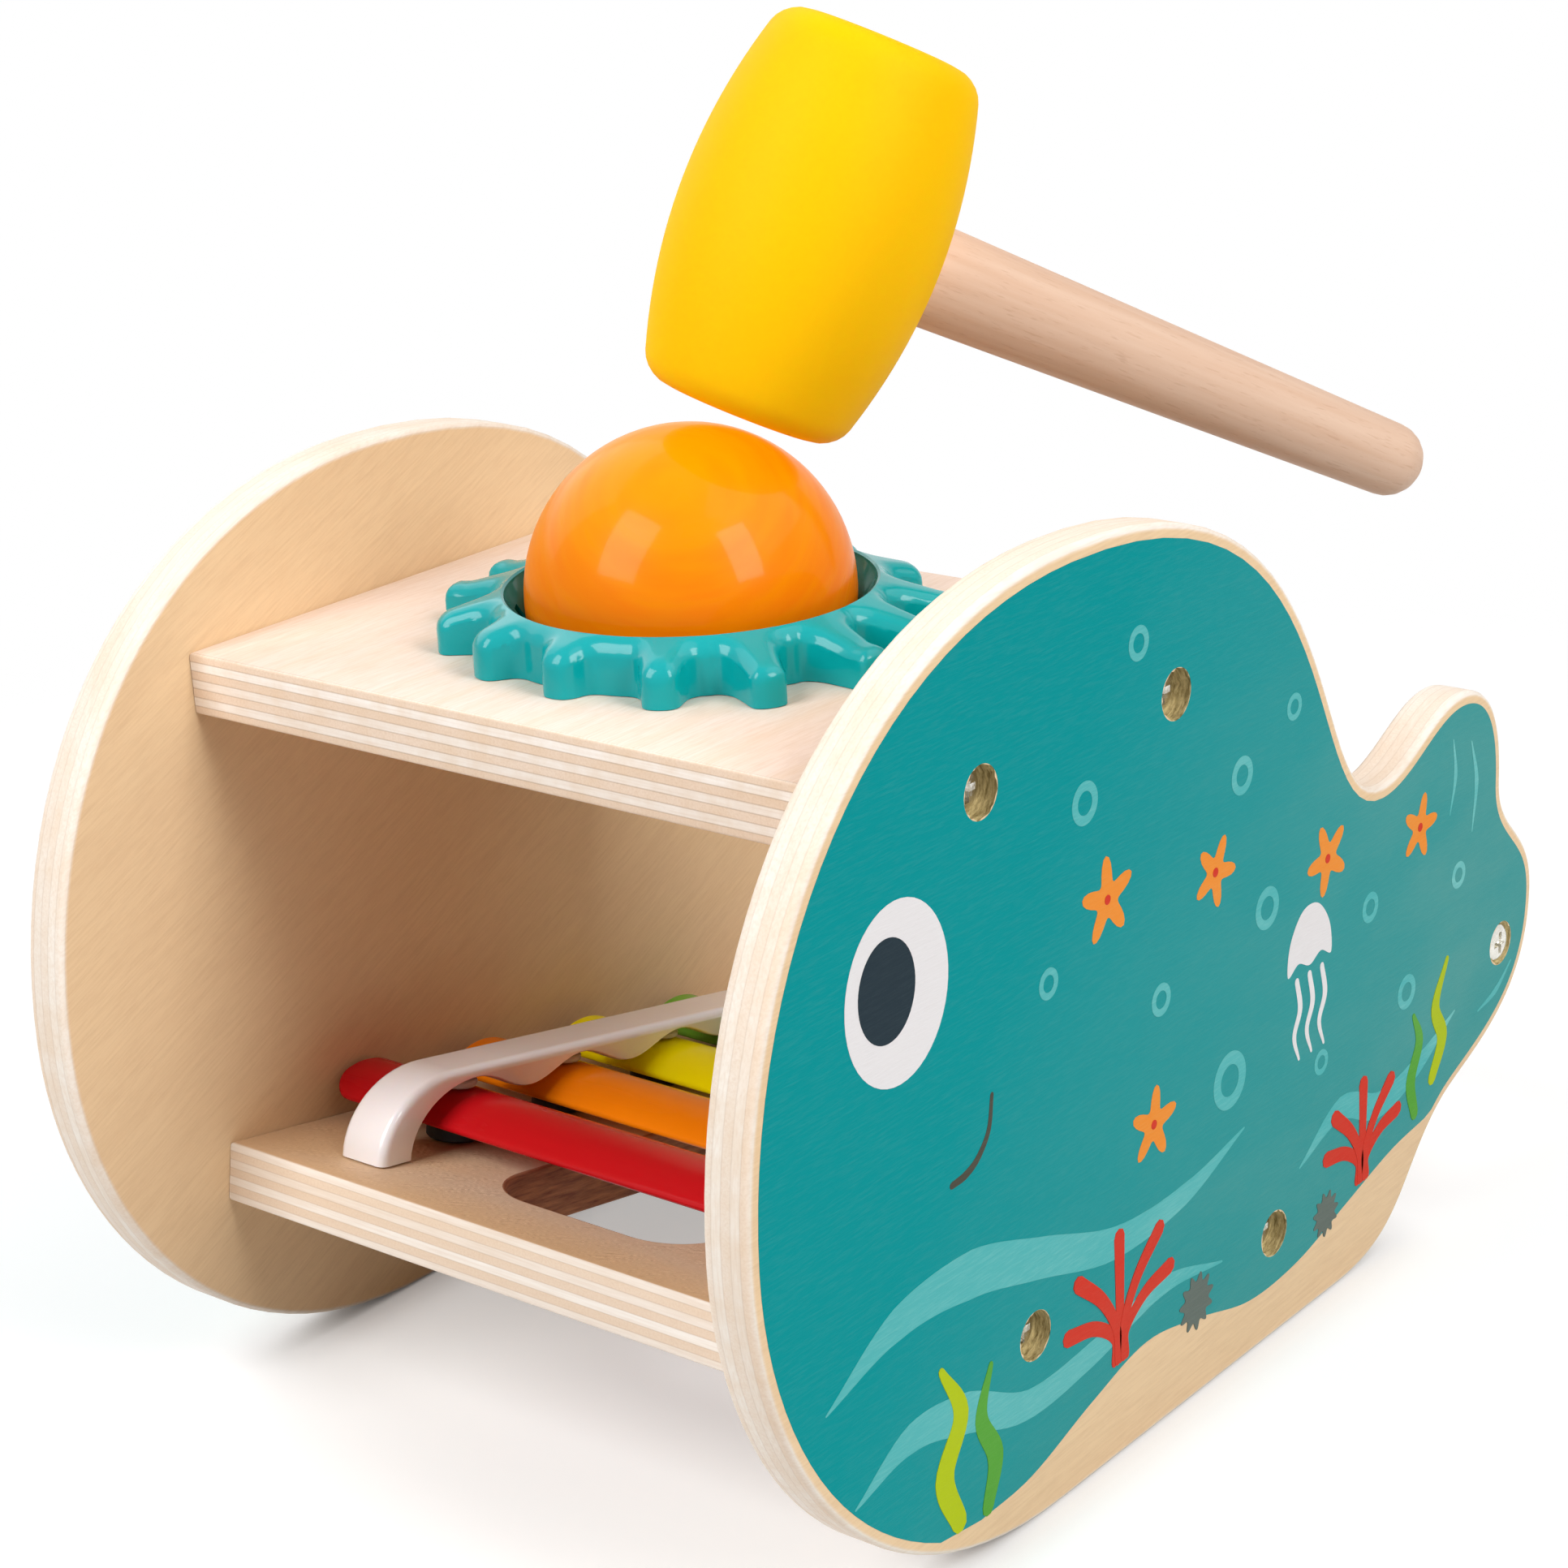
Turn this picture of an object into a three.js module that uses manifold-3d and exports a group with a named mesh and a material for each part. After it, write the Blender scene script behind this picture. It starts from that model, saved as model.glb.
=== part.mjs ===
// A tapping toy: two whale-shaped plywood panels carry a level top board and a sloping lower board.
// A ball sits in a splash ring in the top board, and a mallet taps it down on to four arched bars.
// Millimetres. X runs across the bench, Y from the whale's face to its tail, Z up from the floor.
import * as THREE from "three";
import { mergeVertices } from "three/addons/utils/BufferGeometryUtils.js";
import Module from "manifold-3d";

const wasm = await Module();
wasm.setup();

// Clearances
const SEAT_GAP = 0.3; // round a screw or pin, and under what rests on the sloping board
const BUTT_GAP = 0.1; // between flat faces that are screwed or pressed together
const OVERRUN = 1; // how far a cutter runs past the face that it opens

// Facets round a full turn
const FINE = 32;
const MEDIUM = 16;
const COARSE = 10;

// Side panels
const INNER_GAP = 114; // clear width between the two panels
const PANEL_THICKNESS = 7.3;
const PANEL_ROUNDING = 1; // radius along the panel's edges

// Whale outline, with Y counted from the front edge of the top board.
// Each node has its place, and each curve leaves or reaches a node along its tangent by a length.
const FLOOR_FRONT_Y = 34.1;
const CHIN_LENGTH = 41.1;
const NOSE_Y = -30.1;
const NOSE_Z = 62.6;
const JAW_LENGTH = 30.4;
const BROW_LENGTH = 39.6;
const CROWN_Y = 39.9;
const CROWN_Z = 134.5;
const FOREHEAD_LENGTH = 44.9;
const BACK_LENGTH = 71.6;
const NOTCH_Y = 121.6;
const NOTCH_Z = 78.2;
const LOIN_LENGTH = 21.7;
const FIN_ROOT_LENGTH = 8.4;
const FIN_Y = 145.5;
const FIN_Z = 85.5;
const FIN_FRONT_LENGTH = 8.8;
const FIN_BACK_LENGTH = 5.9;
const DENT_Y = 159.5;
const DENT_Z = 67.7;
const DENT_UPPER_LENGTH = 14.9;
const DENT_LOWER_LENGTH = 9.6;
const TAIL_Y = 171.7;
const TAIL_Z = 45.2;
const TAIL_UPPER_LENGTH = 11.7;
const TAIL_LOWER_LENGTH = 20;
const TAIL_ROOT_Y = 143.1;
const TAIL_ROOT_Z = 18.6;
const TAIL_ROOT_SLOPE_DEG = 29;
const TAIL_ROOT_LENGTH = 8.9;
const RUMP_LENGTH = 14.4;
const FLOOR_BACK_Y = 110.5;
const HEEL_LENGTH = 20.7;

// Boards
const BOARD_THICKNESS = 9;
const TOP_BOARD_DEPTH = 83.3; // front edge to back edge
const TOP_BOARD_DROP = 21.5; // from the whale's crown down to the board's upper face
const LOWER_BOARD_Y = -3; // front edge, from the front edge of the top board
const LOWER_BOARD_Z = 38.8; // height of the front upper edge
const LOWER_BOARD_SLOPE_DEG = 10.3;
const LOWER_BOARD_FRONT_MARGIN = 7.1; // board in front of the rails
const LOWER_BOARD_BACK_MARGIN = 11.9; // board behind the rails
const SOUND_HOLE_WIDTH = 37.6;
const SOUND_HOLE_MARGIN = 14.35; // from the middle of the end bars to the ends of the hole
const SOUND_HOLE_CORNER = 9;

// Ball and splash ring
const BALL_DIAMETER = 46;
const BALL_RISE = 6.4; // ball's centre above the top board
const BEAD_CLEARANCE = 0.25; // between the ball and the ring's narrowest bead
const BEAD_HEIGHT = 3; // upper edge of the bead above the board
const BEAD_WIDTH = 2;
const RIM_FLARE = 2.35; // how far the rim opens out above the bead
const RIM_HEIGHT = 7.7; // above the board
const RIM_WIDTH = 1.6; // level lip round the rim
const TAB_RELIEF = 1.3; // how far the wall steps back below the bead
const SLEEVE_WALL = 1.4;
const SLEEVE_PROUD = 1.2; // sleeve below the underside of the board
const TAB_SLOTS = 10;
const TAB_SLOT_WIDTH = 2.4;
const TAB_SLOT_TOP = 5; // upper end of the slots above the board
const VALLEY_COVER = 1.8; // ring beyond the board's hole, between the fingers
const FINGER_LENGTH = 3.8; // finger beyond the valleys, at the front and back of the ring
const FINGER_SPREAD = 6.2; // extra length of the fingers at the ring's two sides
const FINGER_HEIGHT = 5.8;
const FINGER_ROUNDING = 1.6;
const FINGER_TIP_SHARE = 0.14; // of the half way to the next finger: full length up to here,
const FINGER_ROOT_SHARE = 0.72; // and none left from here
const FINGER_TURNS_DEG = [-163, -138, -113, -86, -58, -34, -10, 11, 33, 57, 83, 107, 131, 155, 178];

// Xylophone
const BAR_COLOURS = { red: 0xc4161c, orange: 0xe87a00, yellow: 0xe3c000, green: 0x6fae2e };
const BAR_PITCH = 23.4;
const BAR_CHORD = 17;
const BAR_RISE = 3.5;
const BAR_SHEET = 1.2;
const BAR_CREST = 8.2; // top of a bar above the lower board, at the front of the rails
const BAR_END_CLEARANCE = 1; // from the longest bar to each panel
const BAR_STEP = 2; // each bar is this much shorter than the one before
const RAIL_INSET = 18.7; // middle of a rail from the end of the longest bar
const RAIL_WIDTH = 8.9;
const RAIL_BEAM = 2; // rail over the top of each arch
const RAIL_FOOT = 6.3; // leg thickness on the board
const RAIL_OVERHANG = 19.9; // from the middle of an end bar to the end of the rail
const RAIL_SHOULDER = 15; // length of the round shoulder over each leg
const RAIL_LOBE_DROP = 3.4; // how far the lobes between the bars hang below the arches
const RAIL_TAPER = 0.0016; // share of its height that the xylophone loses for each mm towards the tail
const RAIL_WAVE_STEPS = 8; // straight steps from one arch to the next
const PIN_DIAMETER = 2.6;
const PIN_COLLAR_DIAMETER = 6;
const PIN_COLLAR_HEIGHT = 1.2; // at the front of the rails
const PIN_STUB = 0.8; // pin inside the rail
const PAD_DIAMETER = 8.6;

// Screws
const SCREW_DIAMETER = 3;
const SCREW_LENGTH = 28;
const SCREW_HEAD_DIAMETER = 6.6;
const SCREW_HEAD_HEIGHT = 1.9;
const SCREW_HEAD_RIM = 0.3;
const SCREW_TIP = 3;
const SCREW_SEAT = 3.1; // plywood left under a sunk head
const SCREW_FLUSH_DROP = 0.2; // the tail screw's head below the panel's face
const TOP_SCREW_INSET = 19.15; // from the board's front and back edges
const LOWER_SCREW_INSET = 32.8;
const RAIL_SCREW_DIAMETER = 2.4;
const RAIL_SCREW_HEAD_DIAMETER = 5;
const RAIL_SCREW_HEAD_HEIGHT = 1.6;
const RAIL_SCREW_BITE = 5; // thread inside the rail's leg
const RAIL_SCREW_WALL = 0.8; // plastic between the screw hole and the leg's inner face

// Rod between the tails
const ROD_DIAMETER = 14;
const ROD_TAIL_INSET = 10.5; // from the tail's tip
const ROD_TAIL_DROP = 5.9; // below the tail's tip

// Mallet, held just above the ball
const MALLET_HEAD_LENGTH = 52.5;
const MALLET_END_DIAMETER = 28;
const MALLET_BELLY_DIAMETER = 37.1;
const MALLET_EDGE = 3.2; // round edge of the striking faces
const HANDLE_ROOT_DIAMETER = 14.2;
const HANDLE_END_DIAMETER = 10.8;
const HANDLE_LENGTH = 85.5; // outside the head
const HANDLE_SOCKET = 23; // inside the head
const MALLET_LIFT = 2.1; // between the ball and the striking face
const MALLET_SHIFT = -2.9; // head's axis from the ball's, along the handle
const MALLET_HEADING_DEG = 58.7; // the mallet's own plane is turned about the vertical,
const MALLET_SWING_DEG = 25.9; // and the head is tipped over in it

// Sizes that follow from the ones above
const ballRadius = BALL_DIAMETER / 2;
const topFace = CROWN_Z - TOP_BOARD_DROP;
const ringY = TOP_BOARD_DEPTH / 2;
const beadRadius = ballRadius + BEAD_CLEARANCE;
const rimRadius = beadRadius + RIM_FLARE;
const tabRadius = beadRadius + TAB_RELIEF;
const sleeveRadius = tabRadius + SLEEVE_WALL;
const ringHoleRadius = sleeveRadius + SEAT_GAP;
const valleyRadius = ringHoleRadius + VALLEY_COVER;
const barCount = Object.keys(BAR_COLOURS).length;
const longestBar = INNER_GAP - 2 * BAR_END_CLEARANCE;
const railX = longestBar / 2 - RAIL_INSET;
const railLength = (barCount - 1) * BAR_PITCH + 2 * RAIL_OVERHANG;
const lowerBoardLength = LOWER_BOARD_FRONT_MARGIN + railLength + LOWER_BOARD_BACK_MARGIN;
const firstBarY = LOWER_BOARD_FRONT_MARGIN + RAIL_OVERHANG;
const barRadius = BAR_CHORD ** 2 / (8 * BAR_RISE) + BAR_RISE / 2;
const slope = THREE.MathUtils.degToRad(LOWER_BOARD_SLOPE_DEG);
const archSag = (RAIL_LOBE_DROP * (1 - Math.cos((Math.PI * PIN_COLLAR_DIAMETER) / BAR_PITCH))) / 2;
const railArch = BAR_CREST + PIN_COLLAR_HEIGHT + SEAT_GAP + archSag; // over each bar, clear of its collar
const railHeight = railArch + RAIL_BEAM;
const pinTop = railArch + SEAT_GAP + PIN_STUB;
const railScrewInset = RAIL_FOOT - RAIL_SCREW_WALL - SEAT_GAP - RAIL_SCREW_DIAMETER / 2;
const sunkHeadX = INNER_GAP / 2 + SCREW_SEAT + SCREW_HEAD_HEIGHT;
const flushHeadX = INNER_GAP / 2 + PANEL_THICKNESS - SCREW_FLUSH_DROP;
const rodY = TAIL_Y - ROD_TAIL_INSET;
const rodZ = TAIL_Z - ROD_TAIL_DROP;

// Closed geometry as a solid for cutting, and back again
function solidOf(geometry) {
  const bare = geometry.clone();
  bare.deleteAttribute("normal");
  bare.deleteAttribute("uv");
  const merged = mergeVertices(bare, 1e-4);
  const triVerts = new Uint32Array(merged.index.array);
  const vertProperties = new Float32Array(merged.attributes.position.array);
  return new wasm.Manifold(new wasm.Mesh({ numProp: 3, vertProperties, triVerts }));
}

function geometryOf(solid) {
  const mesh = solid.getMesh();
  const geometry = new THREE.BufferGeometry();
  geometry.setAttribute("position", new THREE.BufferAttribute(mesh.vertProperties, 3));
  geometry.setIndex(new THREE.BufferAttribute(mesh.triVerts, 1));
  return geometry;
}

function cut(geometry, tools) {
  const left = tools.reduce((body, tool) => body.subtract(solidOf(tool)), solidOf(geometry));
  return geometryOf(left);
}

// Turned solid: the profile is a list of [radius, height] pairs, lowest first, about the Z axis
function turned(profile, sides) {
  const points = profile.map(([radius, height]) => new THREE.Vector2(radius, height));
  return new THREE.LatheGeometry(points, sides).rotateX(Math.PI / 2);
}

// The same along the X axis
function turnedAlongX(profile, sides) {
  return turned(profile, sides).rotateY(Math.PI / 2);
}

function drill(radius, from, to, sides = COARSE) {
  const profile = [
    [0, from],
    [radius, from],
    [radius, to],
    [0, to],
  ];
  return turned(profile, sides);
}

function drillAlongX(radius, from, to, sides = COARSE) {
  return drill(radius, from, to, sides).rotateY(Math.PI / 2);
}

// Turns a shape drawn in X and Y, and extruded along Z, to lie in Y and Z and run along X
function layAlongX(geometry) {
  const turn = new THREE.Matrix4().makeBasis(
    new THREE.Vector3(0, 1, 0),
    new THREE.Vector3(0, 0, 1),
    new THREE.Vector3(1, 0, 0),
  );
  return geometry.applyMatrix4(turn);
}

function rectangle(width, fromY, toY) {
  const shape = new THREE.Shape();
  shape.moveTo(-width / 2, fromY);
  shape.lineTo(width / 2, fromY);
  shape.lineTo(width / 2, toY);
  shape.lineTo(-width / 2, toY);
  shape.closePath();
  return shape;
}

function paint(colour, roughness, metalness = 0) {
  return new THREE.MeshStandardMaterial({ color: colour, roughness, metalness });
}

const PLYWOOD = paint(0xe6cfae, 0.6);
const BEECH = paint(0xd2a98c, 0.6);
const STEEL = paint(0xb9b9b4, 0.3, 1);
const RAIL_PLASTIC = paint(0xefecf0, 0.2);
const PIN_PLASTIC = paint(0xc9c4c2, 0.4);
const RUBBER = paint(0x17171a, 0.8);
const RING_PLASTIC = paint(0x2bb8b2, 0.15);
const BALL_LACQUER = paint(0xf28500, 0.25);
const MALLET_PLASTIC = paint(0xffd400, 0.5);

function add(group, name, geometry, material) {
  const mesh = new THREE.Mesh(geometry, material);
  mesh.name = name;
  group.add(mesh);
  return mesh;
}

// A place on the lower board, by distance from its front edge and height over its upper face
function onSlope(along, height) {
  const y = LOWER_BOARD_Y + along * Math.cos(slope) + height * Math.sin(slope);
  const z = LOWER_BOARD_Z - along * Math.sin(slope) + height * Math.cos(slope);
  return { y, z };
}

function panelScrewPlaces() {
  const topMiddle = topFace - BOARD_THICKNESS / 2;
  const front = onSlope(LOWER_SCREW_INSET, -BOARD_THICKNESS / 2);
  const back = onSlope(lowerBoardLength - LOWER_SCREW_INSET, -BOARD_THICKNESS / 2);
  return {
    top_front: { y: TOP_SCREW_INSET, z: topMiddle, headX: sunkHeadX },
    top_back: { y: TOP_BOARD_DEPTH - TOP_SCREW_INSET, z: topMiddle, headX: sunkHeadX },
    low_front: { ...front, headX: sunkHeadX },
    low_back: { ...back, headX: sunkHeadX },
    tail: { y: rodY, z: rodZ, headX: flushHeadX },
  };
}

// Side panels
function whaleShape() {
  const rootTurn = THREE.MathUtils.degToRad(TAIL_ROOT_SLOPE_DEG);
  const rootY = Math.cos(rootTurn);
  const rootZ = Math.sin(rootTurn);
  const shape = new THREE.Shape();
  shape.moveTo(FLOOR_FRONT_Y, 0);
  shape.bezierCurveTo(FLOOR_FRONT_Y - CHIN_LENGTH, 0, NOSE_Y, NOSE_Z - JAW_LENGTH, NOSE_Y, NOSE_Z);
  shape.bezierCurveTo(NOSE_Y, NOSE_Z + BROW_LENGTH, CROWN_Y - FOREHEAD_LENGTH, CROWN_Z, CROWN_Y, CROWN_Z);
  shape.bezierCurveTo(CROWN_Y + BACK_LENGTH, CROWN_Z, NOTCH_Y - LOIN_LENGTH, NOTCH_Z, NOTCH_Y, NOTCH_Z);
  shape.bezierCurveTo(NOTCH_Y + FIN_ROOT_LENGTH, NOTCH_Z, FIN_Y - FIN_FRONT_LENGTH, FIN_Z, FIN_Y, FIN_Z);
  shape.bezierCurveTo(FIN_Y + FIN_BACK_LENGTH, FIN_Z, DENT_Y, DENT_Z + DENT_UPPER_LENGTH, DENT_Y, DENT_Z);
  shape.bezierCurveTo(DENT_Y, DENT_Z - DENT_LOWER_LENGTH, TAIL_Y, TAIL_Z + TAIL_UPPER_LENGTH, TAIL_Y, TAIL_Z);
  shape.bezierCurveTo(
    TAIL_Y,
    TAIL_Z - TAIL_LOWER_LENGTH,
    TAIL_ROOT_Y + TAIL_ROOT_LENGTH * rootY,
    TAIL_ROOT_Z + TAIL_ROOT_LENGTH * rootZ,
    TAIL_ROOT_Y,
    TAIL_ROOT_Z,
  );
  shape.bezierCurveTo(
    TAIL_ROOT_Y - RUMP_LENGTH * rootY,
    TAIL_ROOT_Z - RUMP_LENGTH * rootZ,
    FLOOR_BACK_Y + HEEL_LENGTH,
    0,
    FLOOR_BACK_Y,
    0,
  );
  shape.closePath();
  return shape;
}

// Sunk hole for a panel screw: a wide bore for the head, its cone, and a clearance hole
function screwHole({ y, z, headX }) {
  const head = SCREW_HEAD_DIAMETER / 2 + SEAT_GAP;
  const shank = SCREW_DIAMETER / 2 + SEAT_GAP;
  const inner = INNER_GAP / 2 - OVERRUN;
  const outer = INNER_GAP / 2 + PANEL_THICKNESS + OVERRUN;
  const profile = [
    [0, inner],
    [shank, inner],
    [shank, headX - SCREW_HEAD_HEIGHT - SEAT_GAP],
    [head, headX - SCREW_HEAD_RIM - SEAT_GAP],
    [head, outer],
    [0, outer],
  ];
  return turnedAlongX(profile, COARSE).translate(0, y, z);
}

function sidePanel(side) {
  const blank = new THREE.ExtrudeGeometry(whaleShape(), {
    depth: PANEL_THICKNESS - 2 * PANEL_ROUNDING,
    bevelEnabled: true,
    bevelThickness: PANEL_ROUNDING,
    bevelSize: PANEL_ROUNDING,
    bevelOffset: -PANEL_ROUNDING,
    bevelSegments: 1,
    curveSegments: 11,
  });
  layAlongX(blank).translate(INNER_GAP / 2 + PANEL_ROUNDING, 0, 0);
  const panel = cut(blank, Object.values(panelScrewPlaces()).map(screwHole));
  return side > 0 ? panel : mirrored(panel);
}

// Mirror image across the bench's middle plane, with its faces turned round to point out again
function mirrored(geometry) {
  const flipped = geometry.clone().scale(-1, 1, 1);
  const order = flipped.index.array;
  for (let i = 0; i < order.length; i += 3) {
    [order[i + 1], order[i + 2]] = [order[i + 2], order[i + 1]];
  }
  return flipped;
}

// Boards
function pilotHoles(places) {
  const open = INNER_GAP / 2 + OVERRUN;
  const bottom = sunkHeadX - SCREW_LENGTH - SEAT_GAP;
  const radius = SCREW_DIAMETER / 2 + SEAT_GAP;
  return places.flatMap(({ y, z }) => [
    drillAlongX(radius, bottom, open).translate(0, y, z),
    drillAlongX(radius, -open, -bottom).translate(0, y, z),
  ]);
}

function topBoard() {
  const shape = rectangle(INNER_GAP - 2 * BUTT_GAP, 0, TOP_BOARD_DEPTH);
  const hole = new THREE.Path();
  hole.absarc(0, ringY, ringHoleRadius, 0, 2 * Math.PI, true);
  shape.holes.push(hole);
  const board = new THREE.ExtrudeGeometry(shape, {
    depth: BOARD_THICKNESS,
    bevelEnabled: false,
    curveSegments: FINE,
  });
  const middle = BOARD_THICKNESS / 2;
  const places = [
    { y: TOP_SCREW_INSET, z: middle },
    { y: TOP_BOARD_DEPTH - TOP_SCREW_INSET, z: middle },
  ];
  return cut(board, pilotHoles(places)).translate(0, 0, topFace - BOARD_THICKNESS);
}

function soundHole() {
  const half = SOUND_HOLE_WIDTH / 2;
  const front = firstBarY - SOUND_HOLE_MARGIN;
  const back = firstBarY + (barCount - 1) * BAR_PITCH + SOUND_HOLE_MARGIN;
  const r = SOUND_HOLE_CORNER;
  const hole = new THREE.Path();
  hole.absarc(half - r, front + r, r, 0, -Math.PI / 2, true);
  hole.absarc(r - half, front + r, r, -Math.PI / 2, -Math.PI, true);
  hole.absarc(r - half, back - r, r, Math.PI, Math.PI / 2, true);
  hole.absarc(half - r, back - r, r, Math.PI / 2, 0, true);
  hole.closePath();
  return hole;
}

function railScrewPlaces() {
  const front = LOWER_BOARD_FRONT_MARGIN + railScrewInset;
  const back = LOWER_BOARD_FRONT_MARGIN + railLength - railScrewInset;
  return {
    left_front: { x: -railX, y: front },
    left_back: { x: -railX, y: back },
    right_front: { x: railX, y: front },
    right_back: { x: railX, y: back },
  };
}

function lowerBoard() {
  const shape = rectangle(INNER_GAP - 2 * BUTT_GAP, 0, lowerBoardLength);
  shape.holes.push(soundHole());
  const board = new THREE.ExtrudeGeometry(shape, {
    depth: BOARD_THICKNESS,
    bevelEnabled: false,
    curveSegments: 6,
  });
  board.translate(0, 0, -BOARD_THICKNESS);
  const middle = -BOARD_THICKNESS / 2;
  const sideHoles = pilotHoles([
    { y: LOWER_SCREW_INSET, z: middle },
    { y: lowerBoardLength - LOWER_SCREW_INSET, z: middle },
  ]);
  const shank = RAIL_SCREW_DIAMETER / 2 + SEAT_GAP;
  const head = RAIL_SCREW_HEAD_DIAMETER / 2 + SEAT_GAP;
  const seat = RAIL_SCREW_HEAD_HEIGHT + SEAT_GAP - BOARD_THICKNESS;
  const railHoles = Object.values(railScrewPlaces()).flatMap(({ x, y }) => [
    drill(shank, -BOARD_THICKNESS - OVERRUN, OVERRUN).translate(x, y, 0),
    drill(head, -BOARD_THICKNESS - OVERRUN, seat).translate(x, y, 0),
  ]);
  return cut(board, [...sideHoles, ...railHoles]);
}

// Splash ring: one profile swept round the ball, whose outer edge follows the fingers
function fingerReach(turn) {
  return FINGER_LENGTH + FINGER_SPREAD * Math.cos(turn) ** 2;
}

// Shares of the half way to the neighbouring finger where the outline has its points
const FINGER_STEPS = [0, 0.21, 0.38, 0.6];

function ringOutline() {
  const turns = FINGER_TURNS_DEG.map(THREE.MathUtils.degToRad);
  const outline = [];
  turns.forEach((turn, i) => {
    const next = i + 1 < turns.length ? turns[i + 1] : turns[0] + 2 * Math.PI;
    const half = (next - turn) / 2;
    const reach = fingerReach(turn);
    const nextReach = fingerReach(next);
    const rise = (share) => 1 - THREE.MathUtils.smoothstep(share, FINGER_TIP_SHARE, FINGER_ROOT_SHARE);
    for (const share of FINGER_STEPS) {
      outline.push([turn + share * half, valleyRadius + reach * rise(share)]);
    }
    outline.push([turn + half, valleyRadius]);
    for (const share of FINGER_STEPS.slice(1).reverse()) {
      outline.push([next - share * half, valleyRadius + nextReach * rise(share)]);
    }
  });
  return outline;
}

function ringProfile(outer) {
  const bottom = -BOARD_THICKNESS - SLEEVE_PROUD;
  const bevel = FINGER_ROUNDING * (1 - Math.SQRT1_2);
  return [
    [outer, BUTT_GAP],
    [outer, FINGER_HEIGHT - FINGER_ROUNDING],
    [outer - bevel, FINGER_HEIGHT - bevel],
    [outer - FINGER_ROUNDING, FINGER_HEIGHT],
    [rimRadius + RIM_WIDTH / 2, RIM_HEIGHT],
    [rimRadius, RIM_HEIGHT - RIM_WIDTH / 2],
    [beadRadius, BEAD_HEIGHT],
    [beadRadius, BEAD_HEIGHT - BEAD_WIDTH],
    [tabRadius, BEAD_HEIGHT - BEAD_WIDTH - TAB_RELIEF],
    [tabRadius, bottom],
    [sleeveRadius, bottom],
    [sleeveRadius, BUTT_GAP],
  ];
}

function sweptRing(outline) {
  const loops = outline.map(([turn, outer]) =>
    ringProfile(outer).map(([r, z]) => [r * Math.cos(turn), r * Math.sin(turn), z]),
  );
  const around = loops.length;
  const along = loops[0].length;
  const index = [];
  for (let i = 0; i < around; i += 1) {
    for (let j = 0; j < along; j += 1) {
      const a = i * along + j;
      const b = ((i + 1) % around) * along + j;
      const c = ((i + 1) % around) * along + ((j + 1) % along);
      const d = i * along + ((j + 1) % along);
      index.push(a, b, c, a, c, d);
    }
  }
  const geometry = new THREE.BufferGeometry();
  geometry.setAttribute("position", new THREE.Float32BufferAttribute(loops.flat(2), 3));
  geometry.setIndex(index);
  return geometry;
}

function splashRing() {
  const deep = BOARD_THICKNESS + SLEEVE_PROUD + OVERRUN;
  const middleRadius = (beadRadius + sleeveRadius) / 2;
  const slots = [];
  for (let i = 0; i < TAB_SLOTS; i += 1) {
    const slot = new THREE.BoxGeometry(2 * (sleeveRadius - beadRadius), TAB_SLOT_WIDTH, deep + TAB_SLOT_TOP);
    slot.translate(middleRadius, 0, (TAB_SLOT_TOP - deep) / 2);
    slots.push(slot.rotateZ((i / TAB_SLOTS) * 2 * Math.PI));
  }
  // The slots stay inside the sleeve, so that the ring outside it is whole
  const core = drill(sleeveRadius + SEAT_GAP, -deep - OVERRUN, TAB_SLOT_TOP + OVERRUN, FINE);
  const tools = slots.map((slot) => geometryOf(solidOf(slot).intersect(solidOf(core))));
  return cut(sweptRing(ringOutline()), tools).translate(0, ringY, topFace);
}

function ball() {
  const sphere = new THREE.SphereGeometry(ballRadius, FINE, MEDIUM).rotateX(Math.PI / 2);
  return sphere.translate(0, ringY, topFace + BALL_RISE);
}

// Xylophone, in the lower board's own frame: Y along the board, Z square to its upper face
function railShape() {
  const front = LOWER_BOARD_FRONT_MARGIN;
  const back = front + railLength;
  const lastBarY = firstBarY + (barCount - 1) * BAR_PITCH;
  const span = RAIL_OVERHANG - RAIL_FOOT;
  const shape = new THREE.Shape();
  shape.moveTo(front, 0);
  shape.absellipse(front + RAIL_SHOULDER, 0, RAIL_SHOULDER, railHeight, Math.PI, Math.PI / 2, true);
  shape.absellipse(back - RAIL_SHOULDER, 0, RAIL_SHOULDER, railHeight, Math.PI / 2, 0, true);
  shape.lineTo(back - RAIL_FOOT, 0);
  shape.absellipse(lastBarY, 0, span, railArch, 0, Math.PI / 2);
  for (let i = 1; i < RAIL_WAVE_STEPS * (barCount - 1); i += 1) {
    const bars = i / RAIL_WAVE_STEPS;
    const drop = (RAIL_LOBE_DROP * (1 - Math.cos(2 * Math.PI * bars))) / 2;
    shape.lineTo(lastBarY - bars * BAR_PITCH, railArch - drop);
  }
  shape.absellipse(firstBarY, 0, span, railArch, Math.PI / 2, Math.PI);
  shape.closePath();
  return shape;
}

// The xylophone is lower towards the tail: share of its front height that is left at Y
function heightShare(y) {
  return 1 - RAIL_TAPER * (y - LOWER_BOARD_FRONT_MARGIN);
}

function barPlaces() {
  return Object.keys(BAR_COLOURS).map((colour, i) => ({
    colour,
    y: firstBarY + i * BAR_PITCH,
    length: longestBar - i * BAR_STEP,
  }));
}

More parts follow.
